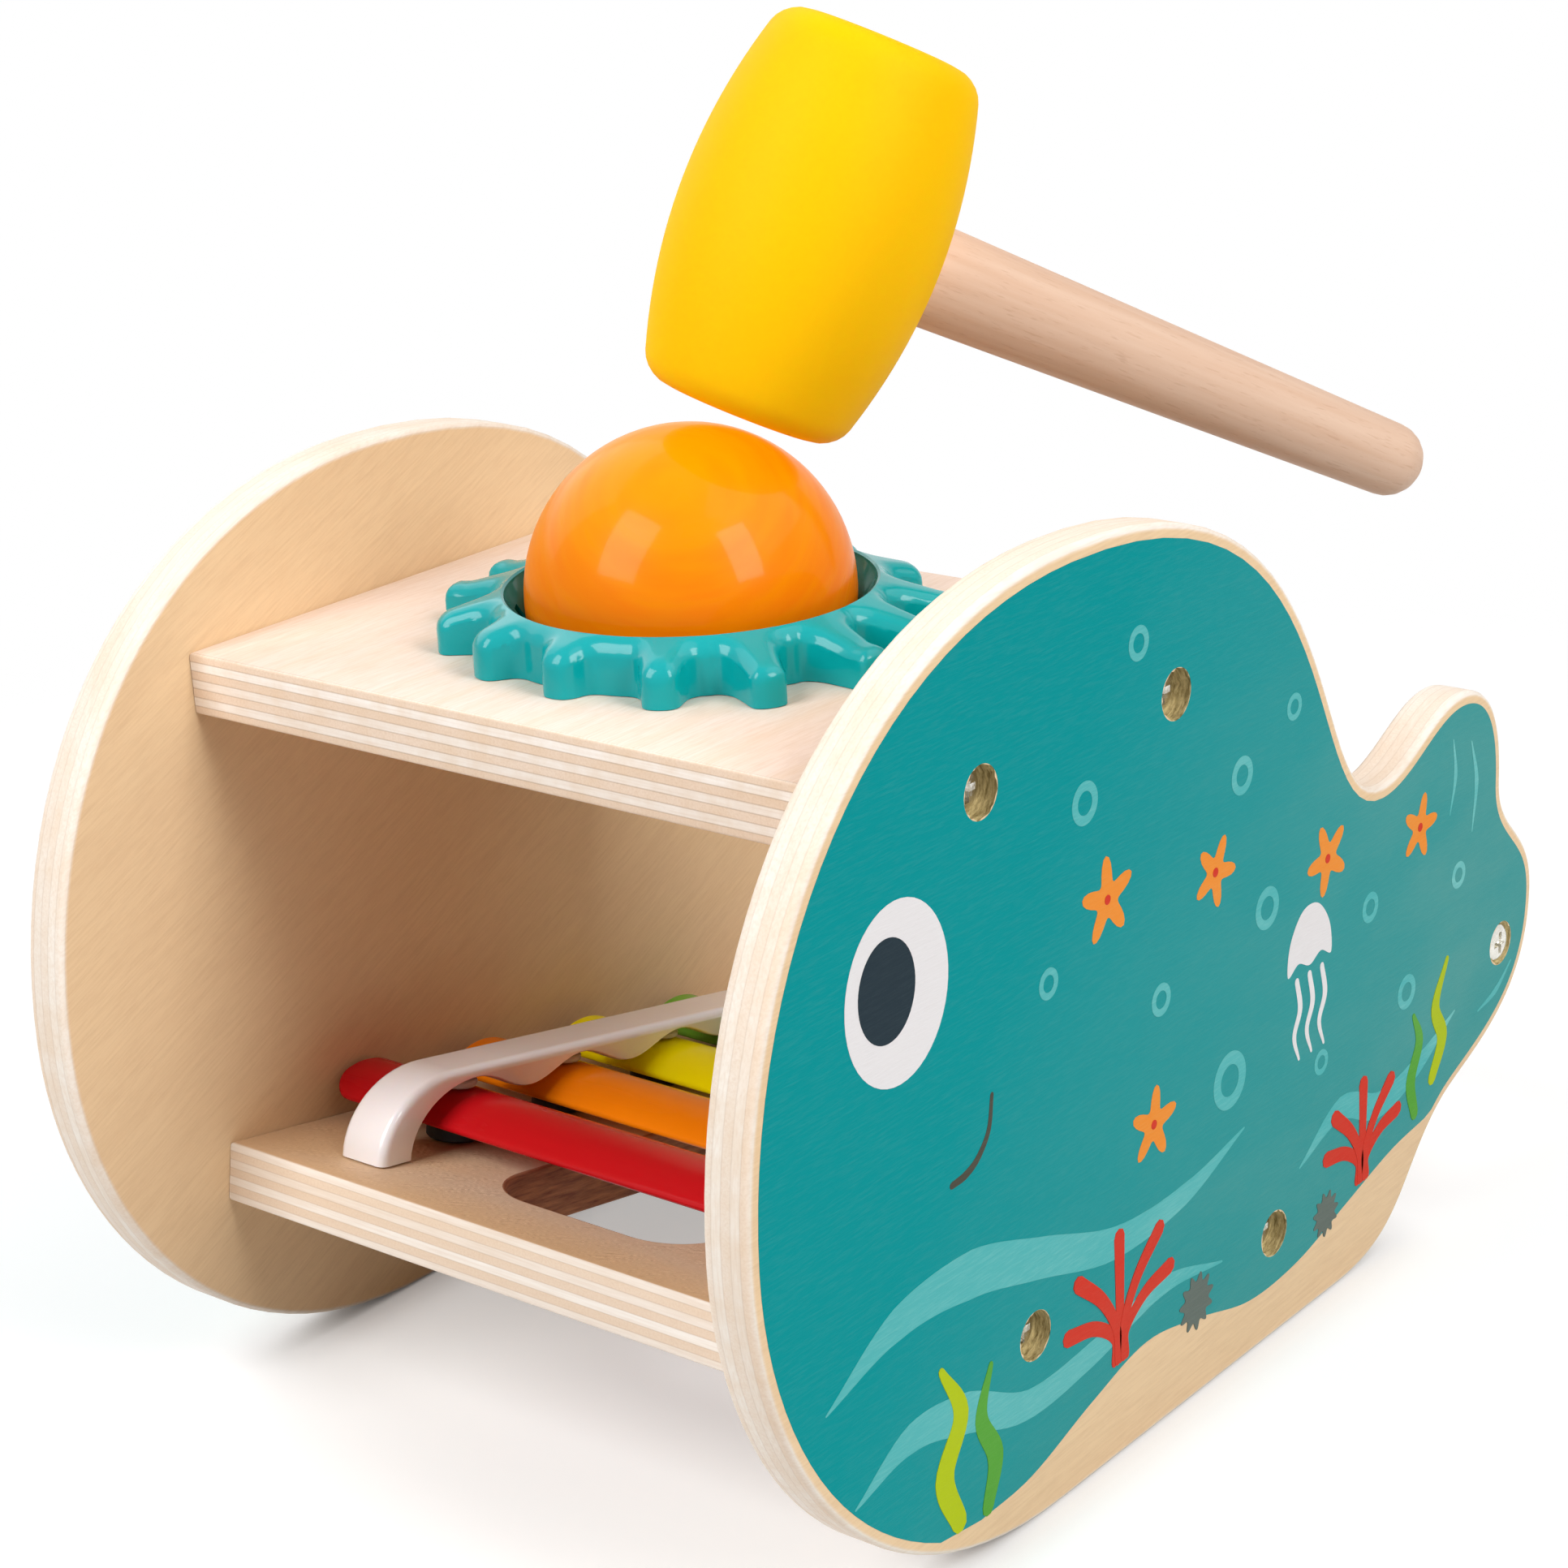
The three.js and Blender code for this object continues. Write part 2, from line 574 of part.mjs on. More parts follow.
function rail(x) {
  const body = new THREE.ExtrudeGeometry(railShape(), {
    depth: RAIL_WIDTH,
    bevelEnabled: false,
    curveSegments: 8,
  });
  layAlongX(body);
  const place = body.attributes.position;
  for (let i = 0; i < place.count; i += 1) {
    place.setZ(i, place.getZ(i) * heightShare(place.getY(i)));
  }
  body.translate(x - RAIL_WIDTH / 2, 0, SEAT_GAP);
  const pinRadius = PIN_DIAMETER / 2 + SEAT_GAP;
  const stubs = barPlaces().map(({ y }) => {
    const share = heightShare(y);
    return drill(pinRadius, railArch * share - OVERRUN, pinTop * share + SEAT_GAP).translate(x, y, 0);
  });
  const screwRadius = RAIL_SCREW_DIAMETER / 2 + SEAT_GAP;
  const threads = Object.values(railScrewPlaces())
    .filter((place) => place.x === x)
    .map(({ y }) => drill(screwRadius, -OVERRUN, RAIL_SCREW_BITE + SEAT_GAP).translate(x, y, 0));
  return cut(body, [...stubs, ...threads]);
}

function bar({ y, length }) {
  const inner = barRadius - BAR_SHEET;
  const halfTurn = Math.asin(BAR_CHORD / 2 / barRadius);
  const shape = new THREE.Shape();
  shape.absarc(0, 0, barRadius, Math.PI / 2 - halfTurn, Math.PI / 2 + halfTurn, false);
  shape.absarc(0, 0, inner, Math.PI / 2 + halfTurn, Math.PI / 2 - halfTurn, true);
  shape.closePath();
  const body = new THREE.ExtrudeGeometry(shape, { depth: length, bevelEnabled: false, curveSegments: 10 });
  layAlongX(body).translate(-length / 2, y, BAR_CREST * heightShare(y) - barRadius);
  const radius = PIN_DIAMETER / 2 + SEAT_GAP;
  return cut(body, [-railX, railX].map((x) => drill(radius, 0, BAR_CREST + OVERRUN).translate(x, y, 0)));
}

// Pin from the rail through the bar into the pad, with a collar that keeps the bar down
function pin(x, y) {
  const share = heightShare(y);
  const collarLow = BAR_CREST * share + SEAT_GAP;
  const collarHigh = (BAR_CREST + PIN_COLLAR_HEIGHT) * share + SEAT_GAP * share;
  const top = pinTop * share;
  const shank = PIN_DIAMETER / 2;
  const collar = PIN_COLLAR_DIAMETER / 2;
  const profile = [
    [0, SEAT_GAP],
    [shank, SEAT_GAP],
    [shank, collarLow],
    [collar, collarLow],
    [collar, collarHigh],
    [shank, collarHigh],
    [shank, top],
    [0, top],
  ];
  return turned(profile, COARSE).translate(x, y, 0);
}

// Rubber ring under the bar, low enough to clear the bar's round underside
function pad(x, y) {
  const radius = PAD_DIAMETER / 2;
  const inner = barRadius - BAR_SHEET;
  const sag = inner - Math.sqrt(inner ** 2 - radius ** 2);
  const barUnderside = BAR_CREST * heightShare(y) - BAR_SHEET;
  const top = barUnderside - sag - SEAT_GAP;
  const bore = PIN_DIAMETER / 2 + SEAT_GAP;
  const profile = [
    [bore, SEAT_GAP],
    [radius, SEAT_GAP],
    [radius, top],
    [bore, top],
    [bore, SEAT_GAP],
  ];
  return turned(profile, COARSE).translate(x, y, 0);
}

function railScrew({ x, y }) {
  const shank = RAIL_SCREW_DIAMETER / 2;
  const head = RAIL_SCREW_HEAD_DIAMETER / 2;
  const underHead = RAIL_SCREW_HEAD_HEIGHT - BOARD_THICKNESS;
  const profile = [
    [0, -BOARD_THICKNESS],
    [head, -BOARD_THICKNESS],
    [head, underHead],
    [shank, underHead],
    [shank, RAIL_SCREW_BITE - shank],
    [0, RAIL_SCREW_BITE],
  ];
  return turned(profile, COARSE).translate(x, y, 0);
}

// Panel screw, with its head sunk in the panel and its point in a board or in the rod
function panelScrew(side, { y, z, headX }) {
  const shank = SCREW_DIAMETER / 2;
  const head = SCREW_HEAD_DIAMETER / 2;
  const profile = [
    [0, headX - SCREW_LENGTH],
    [shank, headX - SCREW_LENGTH + SCREW_TIP],
    [shank, headX - SCREW_HEAD_HEIGHT],
    [head, headX - SCREW_HEAD_RIM],
    [head, headX],
    [0, headX],
  ];
  const screw = turnedAlongX(profile, COARSE);
  return (side > 0 ? screw : screw.rotateZ(Math.PI)).translate(0, y, z);
}

function tailRod() {
  const end = INNER_GAP / 2 - BUTT_GAP;
  const bottom = flushHeadX - SCREW_LENGTH - SEAT_GAP;
  const bore = SCREW_DIAMETER / 2 + SEAT_GAP;
  const profile = [
    [0, -bottom],
    [bore, -bottom],
    [bore, -end],
    [ROD_DIAMETER / 2, -end],
    [ROD_DIAMETER / 2, end],
    [bore, end],
    [bore, bottom],
    [0, bottom],
  ];
  return turnedAlongX(profile, MEDIUM).translate(0, rodY, rodZ);
}

// Mallet in its own frame: the striking face is at Z = 0, and the handle runs along X
function malletRadius(height) {
  const fromMiddle = (2 * height) / MALLET_HEAD_LENGTH - 1;
  return (MALLET_BELLY_DIAMETER - (MALLET_BELLY_DIAMETER - MALLET_END_DIAMETER) * fromMiddle ** 2) / 2;
}

const handleRise = MALLET_HEAD_LENGTH / 2;
const handleStart = MALLET_BELLY_DIAMETER / 2 - HANDLE_SOCKET;

function malletHead() {
  const steps = 9;
  const low = MALLET_EDGE * (1 - Math.SQRT1_2);
  const profile = [
    [0, 0],
    [malletRadius(0) - MALLET_EDGE, 0],
    [malletRadius(low) - low, low],
  ];
  for (let i = 0; i <= steps; i += 1) {
    const height = MALLET_EDGE + ((MALLET_HEAD_LENGTH - 2 * MALLET_EDGE) * i) / steps;
    profile.push([malletRadius(height), height]);
  }
  profile.push(
    [malletRadius(low) - low, MALLET_HEAD_LENGTH - low],
    [malletRadius(0) - MALLET_EDGE, MALLET_HEAD_LENGTH],
    [0, MALLET_HEAD_LENGTH],
  );
  const socket = drillAlongX(
    HANDLE_ROOT_DIAMETER / 2 + SEAT_GAP,
    handleStart - SEAT_GAP,
    MALLET_BELLY_DIAMETER,
    MEDIUM,
  );
  return cut(turned(profile, FINE), [socket.translate(0, 0, handleRise)]);
}

function malletHandle() {
  const root = HANDLE_ROOT_DIAMETER / 2;
  const end = HANDLE_END_DIAMETER / 2;
  const surface = MALLET_BELLY_DIAMETER / 2;
  const tip = surface + HANDLE_LENGTH;
  const domeTurns = [0, 0.25, 0.5, 0.75].map((share) => (share * Math.PI) / 2);
  const dome = domeTurns.map((turn) => [end * Math.cos(turn), tip - end * (1 - Math.sin(turn))]);
  const profile = [[0, handleStart], [root, handleStart], [root, surface], ...dome, [0, tip]];
  return turnedAlongX(profile, MEDIUM).translate(0, 0, handleRise);
}

function malletGroup() {
  const group = new THREE.Group();
  add(group, "mallet_head", malletHead(), MALLET_PLASTIC);
  add(group, "mallet_handle", malletHandle(), BEECH);
  const swing = THREE.MathUtils.degToRad(MALLET_SWING_DEG);
  const heading = THREE.MathUtils.degToRad(MALLET_HEADING_DEG);
  group.rotation.set(0, swing, heading, "ZXY");
  const fromBall = new THREE.Vector3(MALLET_SHIFT, 0, ballRadius + MALLET_LIFT).applyEuler(group.rotation);
  group.position.set(0, ringY, topFace + BALL_RISE).add(fromBall);
  return group;
}

function xylophoneGroup() {
  const group = new THREE.Group();
  add(group, "lower_board", lowerBoard(), PLYWOOD);
  for (const [side, x] of [["left", -railX], ["right", railX]]) {
    add(group, `rail_${side}`, rail(x), RAIL_PLASTIC);
    for (const { colour, y } of barPlaces()) {
      add(group, `pin_${colour}_${side}`, pin(x, y), PIN_PLASTIC);
      add(group, `pad_${colour}_${side}`, pad(x, y), RUBBER);
    }
  }
  for (const place of barPlaces()) {
    add(group, `bar_${place.colour}`, bar(place), paint(BAR_COLOURS[place.colour], 0.25, 0.3));
  }
  for (const [name, place] of Object.entries(railScrewPlaces())) {
    add(group, `rail_screw_${name}`, railScrew(place), STEEL);
  }
  group.position.set(0, LOWER_BOARD_Y, LOWER_BOARD_Z);
  group.rotation.x = -slope;
  return group;
}

function benchGroup() {
  const group = new THREE.Group();
  for (const [name, side] of [["left", -1], ["right", 1]]) {
    add(group, `side_panel_${name}`, sidePanel(side), PLYWOOD);
    for (const [place, at] of Object.entries(panelScrewPlaces())) {
      add(group, `screw_${name}_${place}`, panelScrew(side, at), STEEL);
    }
  }
  add(group, "top_board", topBoard(), PLYWOOD);
  add(group, "tail_rod", tailRod(), BEECH);
  add(group, "splash_ring", splashRing(), RING_PLASTIC);
  add(group, "ball", ball(), BALL_LACQUER);
  group.add(xylophoneGroup(), malletGroup());
  return group;
}

// The origin is on the floor, under the middle of the whole part's box
const tapBench = new THREE.Group();
const bench = benchGroup();
const box = new THREE.Box3().setFromObject(bench, true);
const middle = box.getCenter(new THREE.Vector3());
bench.position.set(-middle.x, -middle.y, -box.min.z);
tapBench.add(bench);

export default tapBench;
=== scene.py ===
# %% [markdown]
# # A tap bench
# The object is a small wooden toy. Two whale-shaped plywood panels hold a level top board and a
# sloping lower board. A ball sits in a splash ring, and a mallet taps it down on to four bars.
# The solid model gives every place and size. This lesson builds each piece again with finer
# shapes, gives it the finish of its real material, and lights it like a plain product picture.

# %% The fixed frame
import math

import bmesh
import bpy
from mathutils import Euler, Matrix, Vector, kdtree, noise
from mathutils.geometry import tessellate_polygon


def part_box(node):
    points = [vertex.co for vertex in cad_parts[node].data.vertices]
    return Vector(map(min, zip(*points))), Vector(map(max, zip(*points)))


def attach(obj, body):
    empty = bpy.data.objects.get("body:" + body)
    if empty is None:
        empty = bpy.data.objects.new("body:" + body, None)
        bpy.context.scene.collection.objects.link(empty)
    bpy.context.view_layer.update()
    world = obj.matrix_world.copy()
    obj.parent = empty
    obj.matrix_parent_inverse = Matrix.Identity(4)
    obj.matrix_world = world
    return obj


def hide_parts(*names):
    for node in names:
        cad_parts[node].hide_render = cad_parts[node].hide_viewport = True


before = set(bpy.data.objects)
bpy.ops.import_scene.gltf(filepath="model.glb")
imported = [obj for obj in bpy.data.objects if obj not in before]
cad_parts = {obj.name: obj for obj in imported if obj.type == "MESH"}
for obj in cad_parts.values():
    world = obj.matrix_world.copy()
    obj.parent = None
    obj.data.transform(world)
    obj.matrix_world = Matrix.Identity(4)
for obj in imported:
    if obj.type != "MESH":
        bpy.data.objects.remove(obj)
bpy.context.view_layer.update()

# %% [markdown]
# ## Millimetres and the bench's own places
# Drawings of a toy like this are in millimetres, so the lesson is too, and each mesh is turned to
# metres as it is made. Places on the bench are counted from the top board: across from its middle,
# back from its front edge, and up from the floor.

# %% Places on the bench
MM = 0.001


def solid_box(node):
    """Lowest and highest corner of a piece of the solid model, in millimetres."""
    return [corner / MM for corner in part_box(node)]


top_low, top_high = solid_box("top_board")
MIDDLE_X = (top_low.x + top_high.x) / 2
FRONT_Y = top_low.y
TOP_FACE = top_high.z
INNER_GAP = 114.0
BOARD_THICKNESS = 9.0


def bench(across, back, up):
    return Vector((MIDDLE_X + across, FRONT_Y + back, up))


print("top board's upper face is", round(TOP_FACE, 2), "mm over the floor")

# %% [markdown]
# ## Skins from rings
# Nearly every piece here is a stack of closed rings: an outline moved in a little at its rounded
# edges, or circles on a lathe. Blender's bevel could round the edges, but it needs clean corners
# everywhere. Rings give full control, and walls between them and flat caps always close the skin.

# %% A closed skin
class Skin:
    def __init__(self):
        self.points = []
        self.faces = []
        self.finishes = []
        self.smooth = []

    def ring(self, points):
        first = len(self.points)
        self.points += [Vector(point) for point in points]
        return list(range(first, len(self.points)))

    def level(self, outline, height):
        return self.ring((*point, height) for point in outline)

    def face(self, corners, finish, smooth):
        self.faces.append(corners)
        self.finishes.append(finish)
        self.smooth.append(smooth)

    def walls(self, rings, finish=0):
        for low, high in zip(rings, rings[1:]):
            for i in range(len(low)):
                j = (i + 1) % len(low)
                self.face((low[i], low[j], high[j], high[i]), finish, True)

    def cap(self, *rings, finish=0):
        corners = [corner for ring in rings for corner in ring]
        loops = [[self.points[corner] for corner in ring] for ring in rings]
        for triangle in tessellate_polygon(loops):
            self.face([corners[i] for i in triangle], finish, False)

    def block(self, rings):
        self.walls(rings)
        self.cap(rings[0])
        self.cap(rings[-1])

    def tip(self, ring, point):
        (end,) = self.ring([point])
        for i in range(len(ring)):
            self.face((ring[i], ring[(i + 1) % len(ring)], end), 0, True)


# %% From a skin to a piece of the toy
SHARP = math.radians(38)


def put(name, data):
    """Anything new is put in the scene here: a piece, a lamp or the camera."""
    made = bpy.data.objects.new(name, data)
    bpy.context.scene.collection.objects.link(made)
    return made


def closed_mesh(name, skin):
    """A mesh in metres, with every face turned outwards and its sharp corners kept."""
    mesh = bpy.data.meshes.new(name)
    mesh.from_pydata([point * MM for point in skin.points], [], skin.faces)
    work = bmesh.new()
    work.from_mesh(mesh)
    bmesh.ops.recalc_face_normals(work, faces=work.faces)
    work.to_mesh(mesh)
    work.free()
    mesh.polygons.foreach_set("use_smooth", skin.smooth)
    mesh.set_sharp_from_angle(angle=SHARP)
    return mesh


def piece(name, skin, body, finishes, nodes=(), place=Matrix(), own_axes=True):
    """A piece keeps its own axes for its grain, or else its place goes into its points."""
    mesh = closed_mesh(name, skin)
    for finish in finishes:
        mesh.materials.append(finish)
    mesh.polygons.foreach_set("material_index", skin.finishes)
    if not own_axes:
        mesh.transform(place)
        place = Matrix()
    made = put(name, mesh)
    made.matrix_world = place
    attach(made, body)
    if nodes:
        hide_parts(*nodes)
    print(name, "faces:", len(mesh.polygons))
    return made


# %% Outlines
def inset(loop, distance):
    """A closed outline, moved in by a distance. A minus moves it out."""
    before = loop[-1:] + loop[:-1]
    after = loop[1:] + loop[:1]
    area = sum(a.x * b.y - b.x * a.y for a, b in zip(loop, after))
    turn = 1 if area > 0 else -1
    moved = []
    for a, b, c in zip(before, loop, after):
        one = Vector((a.y - b.y, b.x - a.x)).normalized() * turn
        two = Vector((b.y - c.y, c.x - b.x)).normalized() * turn
        middle = (one + two).normalized()
        moved.append(b + middle * distance / max(0.5, middle.dot(one)))
    return moved


def rounded(low, high, radius, steps=4):
    """Heights and insets of an edge that is round at both faces."""
    turns = [math.pi / 2 * i / steps for i in range(steps + 1)]
    curve = [(radius * (1 - math.sin(t)), radius * (1 - math.cos(t))) for t in turns]
    foot = [(low + rise, move) for rise, move in reversed(curve)]
    return foot + [(high - rise, move) for rise, move in curve]


def circle(radius, count):
    turns = [2 * math.pi * i / count for i in range(count)]
    return [Vector((radius * math.cos(t), radius * math.sin(t))) for t in turns]


def bezier(start, leave, reach, end, steps):
    places = [i / steps for i in range(steps)]
    weights = [((1 - t) ** 3, 3 * t * (1 - t) ** 2, 3 * t * t * (1 - t), t**3) for t in places]
    ends = [Vector(point) for point in (start, leave, reach, end)]
    return [sum((w * p for w, p in zip(row, ends)), Vector((0, 0))) for row in weights]


def smooth_line(points, steps=8, closed=False):
    """A soft curve through the points."""
    points = [Vector(point) for point in points]
    if closed:
        points = [points[-1], *points, points[0], points[1]]
    else:
        points = [2 * points[0] - points[1], *points, 2 * points[-1] - points[-2]]
    line = []
    for a, b, c, d in zip(points, points[1:], points[2:], points[3:]):
        line += bezier(b, b + (c - a) / 6, c - (d - b) / 6, c, steps)
    return line if closed else line + [points[-2]]


def turned(skin, profile, count):
    """A lathe shape about Z. A radius of zero makes a point."""
    rings = [skin.level(circle(radius, count), height) for radius, height in profile if radius > 0]
    skin.walls(rings)
    for ring, (radius, height) in ((rings[0], profile[0]), (rings[-1], profile[-1])):
        if radius > 0:
            skin.cap(ring)
        else:
            skin.tip(ring, (0, 0, height))


print("skin and outline tools ready")

# %% [markdown]
# ## Colours and nodes
# Colours are noted as they look on a screen, so one function turns them into the linear values that
# light needs. A material is a small tree of nodes, and one function adds a node with its settings
# and links. An input that is given a node takes that node's first output. Patterns come first, and
# the shader that takes them comes last.

# %% Colour and node helpers
def linear(code):
    shown = [int(code[i : i + 2], 16) / 255 for i in (1, 3, 5)]
    return [c / 12.92 if c <= 0.04045 else ((c + 0.055) / 1.055) ** 2.4 for c in shown] + [1.0]


def add(tree, kind, *values, **settings):
    """A new node. Values go to its inputs in order, or one dict names the inputs."""
    made = tree.nodes.new("ShaderNode" + kind)
    for name, value in settings.items():
        setattr(made, name, value)
    sockets = [socket for socket in made.inputs if socket.enabled]
    if values and isinstance(values[0], dict):
        chosen = [(next(s for s in sockets if s.name == name), value) for name, value in values[0].items()]
    else:
        chosen = zip(sockets, values)
    for socket, value in chosen:
        if isinstance(value, bpy.types.Node):
            value = next(s for s in value.outputs if s.enabled)
        if isinstance(value, bpy.types.NodeSocket):
            tree.links.new(value, socket)
        else:
            socket.default_value = linear(value) if isinstance(value, str) else value
    return made


def begin(name):
    """An empty material, its tree, and the place on the piece in metres."""
    material = bpy.data.materials.new(name)
    material.use_nodes = True
    tree = material.node_tree
    tree.nodes.clear()
    print("finish:", name)
    return material, tree, add(tree, "TexCoord").outputs["Object"]


def dress(tree, inputs):
    """The shader that takes the patterns, and the material's output."""
    add(tree, "OutputMaterial", add(tree, "BsdfPrincipled", inputs))


def mottle(tree, place, *size_mm, turn=(0, 0, 0), detail=3.0, roughness=0.5):
    """Soft spots with a real size in millimetres: one for all axes, or one for each."""
    size = [length * MM for length in size_mm * (3 // len(size_mm))]
    spot = add(tree, "Mapping", {"Vector": place, "Rotation": turn, "Scale": size}, vector_type="TEXTURE")
    return add(tree, "TexNoise", {"Vector": spot, "Scale": 1.0, "Detail": detail, "Roughness": roughness})


print("mid grey in linear light:", round(linear("#808080")[0], 3))

# %% [markdown]
# ## Plywood
# Birch plywood is a stack of thin peeled sheets, each with its grain square to the last. A sheet is
# pale where its edge runs along the grain, and darker and pinker where the cut shows the ends of its
# fibres. So the stripes on an edge change as the outline turns. Painting stripes would miss that.
# Here each ply knows its grain, and the surface's own direction says how much end grain shows.

# %% The grain of a sheet
FIBRE_WIDTH, FIBRE_LENGTH, FIBRE_DEPTH = 0.35, 9.0, 0.03
# Pores are finer than this on real birch, but would not show
PORE_WIDTH, PORE_LENGTH = 0.7, 4.9
PATCH = 12


def grain(tree, place, width, length, axis, turn, **look):
    """Spots that are long along one axis of the turned grain."""
    size = [width] * 3
    size[axis] = length
    return mottle(tree, place, *size, turn=turn, **look)


print("fibres:", FIBRE_WIDTH, "x", FIBRE_LENGTH, "mm")

# %% Birch plywood
GLUE_LINE = 0.07


def plywood(name, depth, plies, thickness, axes, turn, colours, core, glue_tone):
    """Axes are those of the outer sheet's grain and of the next sheet's."""
    veneer, pale, tan = colours
    material, tree, place = begin(name)
    pitch = add(tree, "Math", depth(tree, place), plies / (thickness * MM), operation="MULTIPLY")
    sheet = add(tree, "Math", pitch, operation="FLOOR")
    odd = add(tree, "Math", sheet, 2.0, operation="FLOORED_MODULO")
    # How much the surface looks along the grain, across it, and out of the stack
    facing = add(tree, "NewGeometry").outputs["Normal"]
    shares = []
    for axis in (*axes, 3 - sum(axes)):
        direction = Euler(turn).to_matrix().col[axis]
        dot = add(tree, "VectorMath", facing, direction, operation="DOT_PRODUCT").outputs["Value"]
        shares.append(add(tree, "Math", dot, operation="ABSOLUTE"))
    edge = add(tree, "MapRange", shares[2], 0.995, 0.9)
    # Sheets of the core may be of a paler sort than the outer sheet
    grain_ends = add(tree, "Mix", odd, shares[0], shares[1], data_type="FLOAT")
    outer = add(tree, "Math", pitch, plies - 1.0, operation="GREATER_THAN")
    sort = add(tree, "MapRange", outer, 0, 1, core, 1.0)
    end_grain = add(tree, "Math", grain_ends, sort, operation="MULTIPLY")
    stripe = add(tree, "Mix", add(tree, "MapRange", end_grain, 0.25, 0.95), pale, tan, data_type="RGBA")
    tone = add(tree, "Mix", edge, veneer, stripe, data_type="RGBA")
    # Fibres of a sheet run along its own grain, and sawing leaves fewer open pores on the edge
    fibres = [grain(tree, place, FIBRE_WIDTH, FIBRE_LENGTH, axis, turn, detail=2.0) for axis in axes]
    fibre = add(tree, "Mix", odd, *fibres, data_type="FLOAT")
    pores = grain(tree, place, PORE_WIDTH, PORE_LENGTH, axes[0], turn, detail=4.0, roughness=0.7)
    open_pores = add(tree, "MapRange", edge, 0, 1, 0.24, 0.1)
    speckle = add(tree, "Math", add(tree, "MapRange", pores, 0.45, 0.75), open_pores, operation="MULTIPLY")
    broad = grain(tree, place, PATCH * FIBRE_WIDTH, PATCH * FIBRE_LENGTH, axes[0], turn, detail=2.0)
    # Each sheet has a tone of its own, and a thin dark line of glue beside it, on the edges only
    own = add(tree, "TexWhiteNoise", sheet, noise_dimensions="1D")
    apart = add(tree, "Math", add(tree, "MapRange", own, 0, 1, 0.0, 0.2), edge, operation="MULTIPLY")
    near = add(tree, "Math", pitch, 0.5, operation="PINGPONG")
    line = add(tree, "Math", near, GLUE_LINE, operation="LESS_THAN")
    seam = add(tree, "Math", line, edge, operation="MULTIPLY")
    stains = (
        (add(tree, "MapRange", fibre, 0.4, 0.72, 0.0, 0.18), "#c79d72"),
        (speckle, "#c9a27c"),
        (add(tree, "MapRange", broad, 0.4, 0.75, 0.0, 0.3), "#e0bd94"),
        (apart, "#d8b591"),
        (add(tree, "Math", seam, glue_tone, operation="MULTIPLY"), "#a07850"),
    )
    for share, stain in stains:
        tone = add(tree, "Mix", share, tone, stain, data_type="RGBA")
    bump = add(tree, "Bump", {"Height": fibre, "Distance": FIBRE_DEPTH * MM})
    dress(tree, {"Base Color": tone, "Roughness": 0.55, "Specular IOR Level": 0.3, "Normal": bump})
    return material


# %% Plywood of panels and boards
PANEL_THICKNESS = 7.3
PANEL_PLIES, BOARD_PLIES = 5, 7


def panel_depth(tree, place):
    across = add(tree, "SeparateXYZ", place)
    from_middle = add(tree, "Math", across, MIDDLE_X * MM, operation="SUBTRACT")
    distance = add(tree, "Math", from_middle, operation="ABSOLUTE")
    return add(tree, "Math", distance, INNER_GAP / 2 * MM, operation="SUBTRACT")


def board_depth(tree, place):
    up = add(tree, "SeparateXYZ", place).outputs["Z"]
    return add(tree, "Math", up, -1.0, operation="MULTIPLY")


panel_plywood = {}
for side, lean_deg in (("right", 2), ("left", 25)):
    panel_plywood[side] = plywood(
        f"birch plywood, {side} panel", panel_depth, PANEL_PLIES, PANEL_THICKNESS, (1, 2),
        (math.radians(lean_deg), 0, 0), ("#eccca2", "#f5ece1", "#ecd8c4"), core=0.4, glue_tone=0.14)
# The veneer is painted paler on the top board, as painted light from above, and darker on the lower board, as painted
# shade under the top board
BOARD_TONES_PAINTED_LIT_AND_SHADED = {
    "top": ((1, 0), ("#f1dfd3", "#fdf5ed", "#f0dac6"), 0.36),
    "lower": ((0, 1), ("#dab68e", "#fdf6ee", "#efdbc7"), 0.2),
}
board_plywood = {}
for name, (axes, colours, glue) in BOARD_TONES_PAINTED_LIT_AND_SHADED.items():
    board_plywood[name] = plywood(
        f"birch plywood, {name} board", board_depth, BOARD_PLIES, BOARD_THICKNESS, axes,
        (0, 0, 0), colours, core=1.0, glue_tone=glue)

# %% [markdown]
# ## Bored and routed edges
# A drill tears the soft fibres and leaves a rough, golden wall. The sound hole's wall is painted
# browner and redder, as painted shade and a painted reflection of the red bar, with dark lines where
# the sheets meet. Both take the plywood's idea, coarser.

# %% Cut wood
def cut_wood(name, pale, dark, ridge_mm, depth_mm):
    material, tree, place = begin(name)
    ridges = mottle(tree, place, *ridge_mm, detail=4.0, roughness=0.7)
    shade = add(tree, "MapRange", ridges, 0.35, 0.65)
    dress(tree, {
        "Base Color": add(tree, "Mix", shade, pale, dark, data_type="RGBA"), "Roughness": 0.75, "IOR": 1.5,
        "Normal": add(tree, "Bump", {"Height": ridges, "Distance": depth_mm * MM}),
    })
    return material


bored_wood = cut_wood("bored birch", "#d6c189", "#7d6a38", (0.5, 2.2, 2.2), 0.3)
# The sound hole's brown and red are painted shade and a painted reflection of the red bar
routed_wood_painted_shade = cut_wood("routed birch, painted shade", "#c48c66", "#83503c", (9.0, 9.0, 0.8), 0.08)

# %% [markdown]
# ## The whale's outline
# The panels are sawn to one outline. It is a chain of nine soft curves with a short flat foot. The
# same points and handles as in the solid model give the same outline, only with more steps.

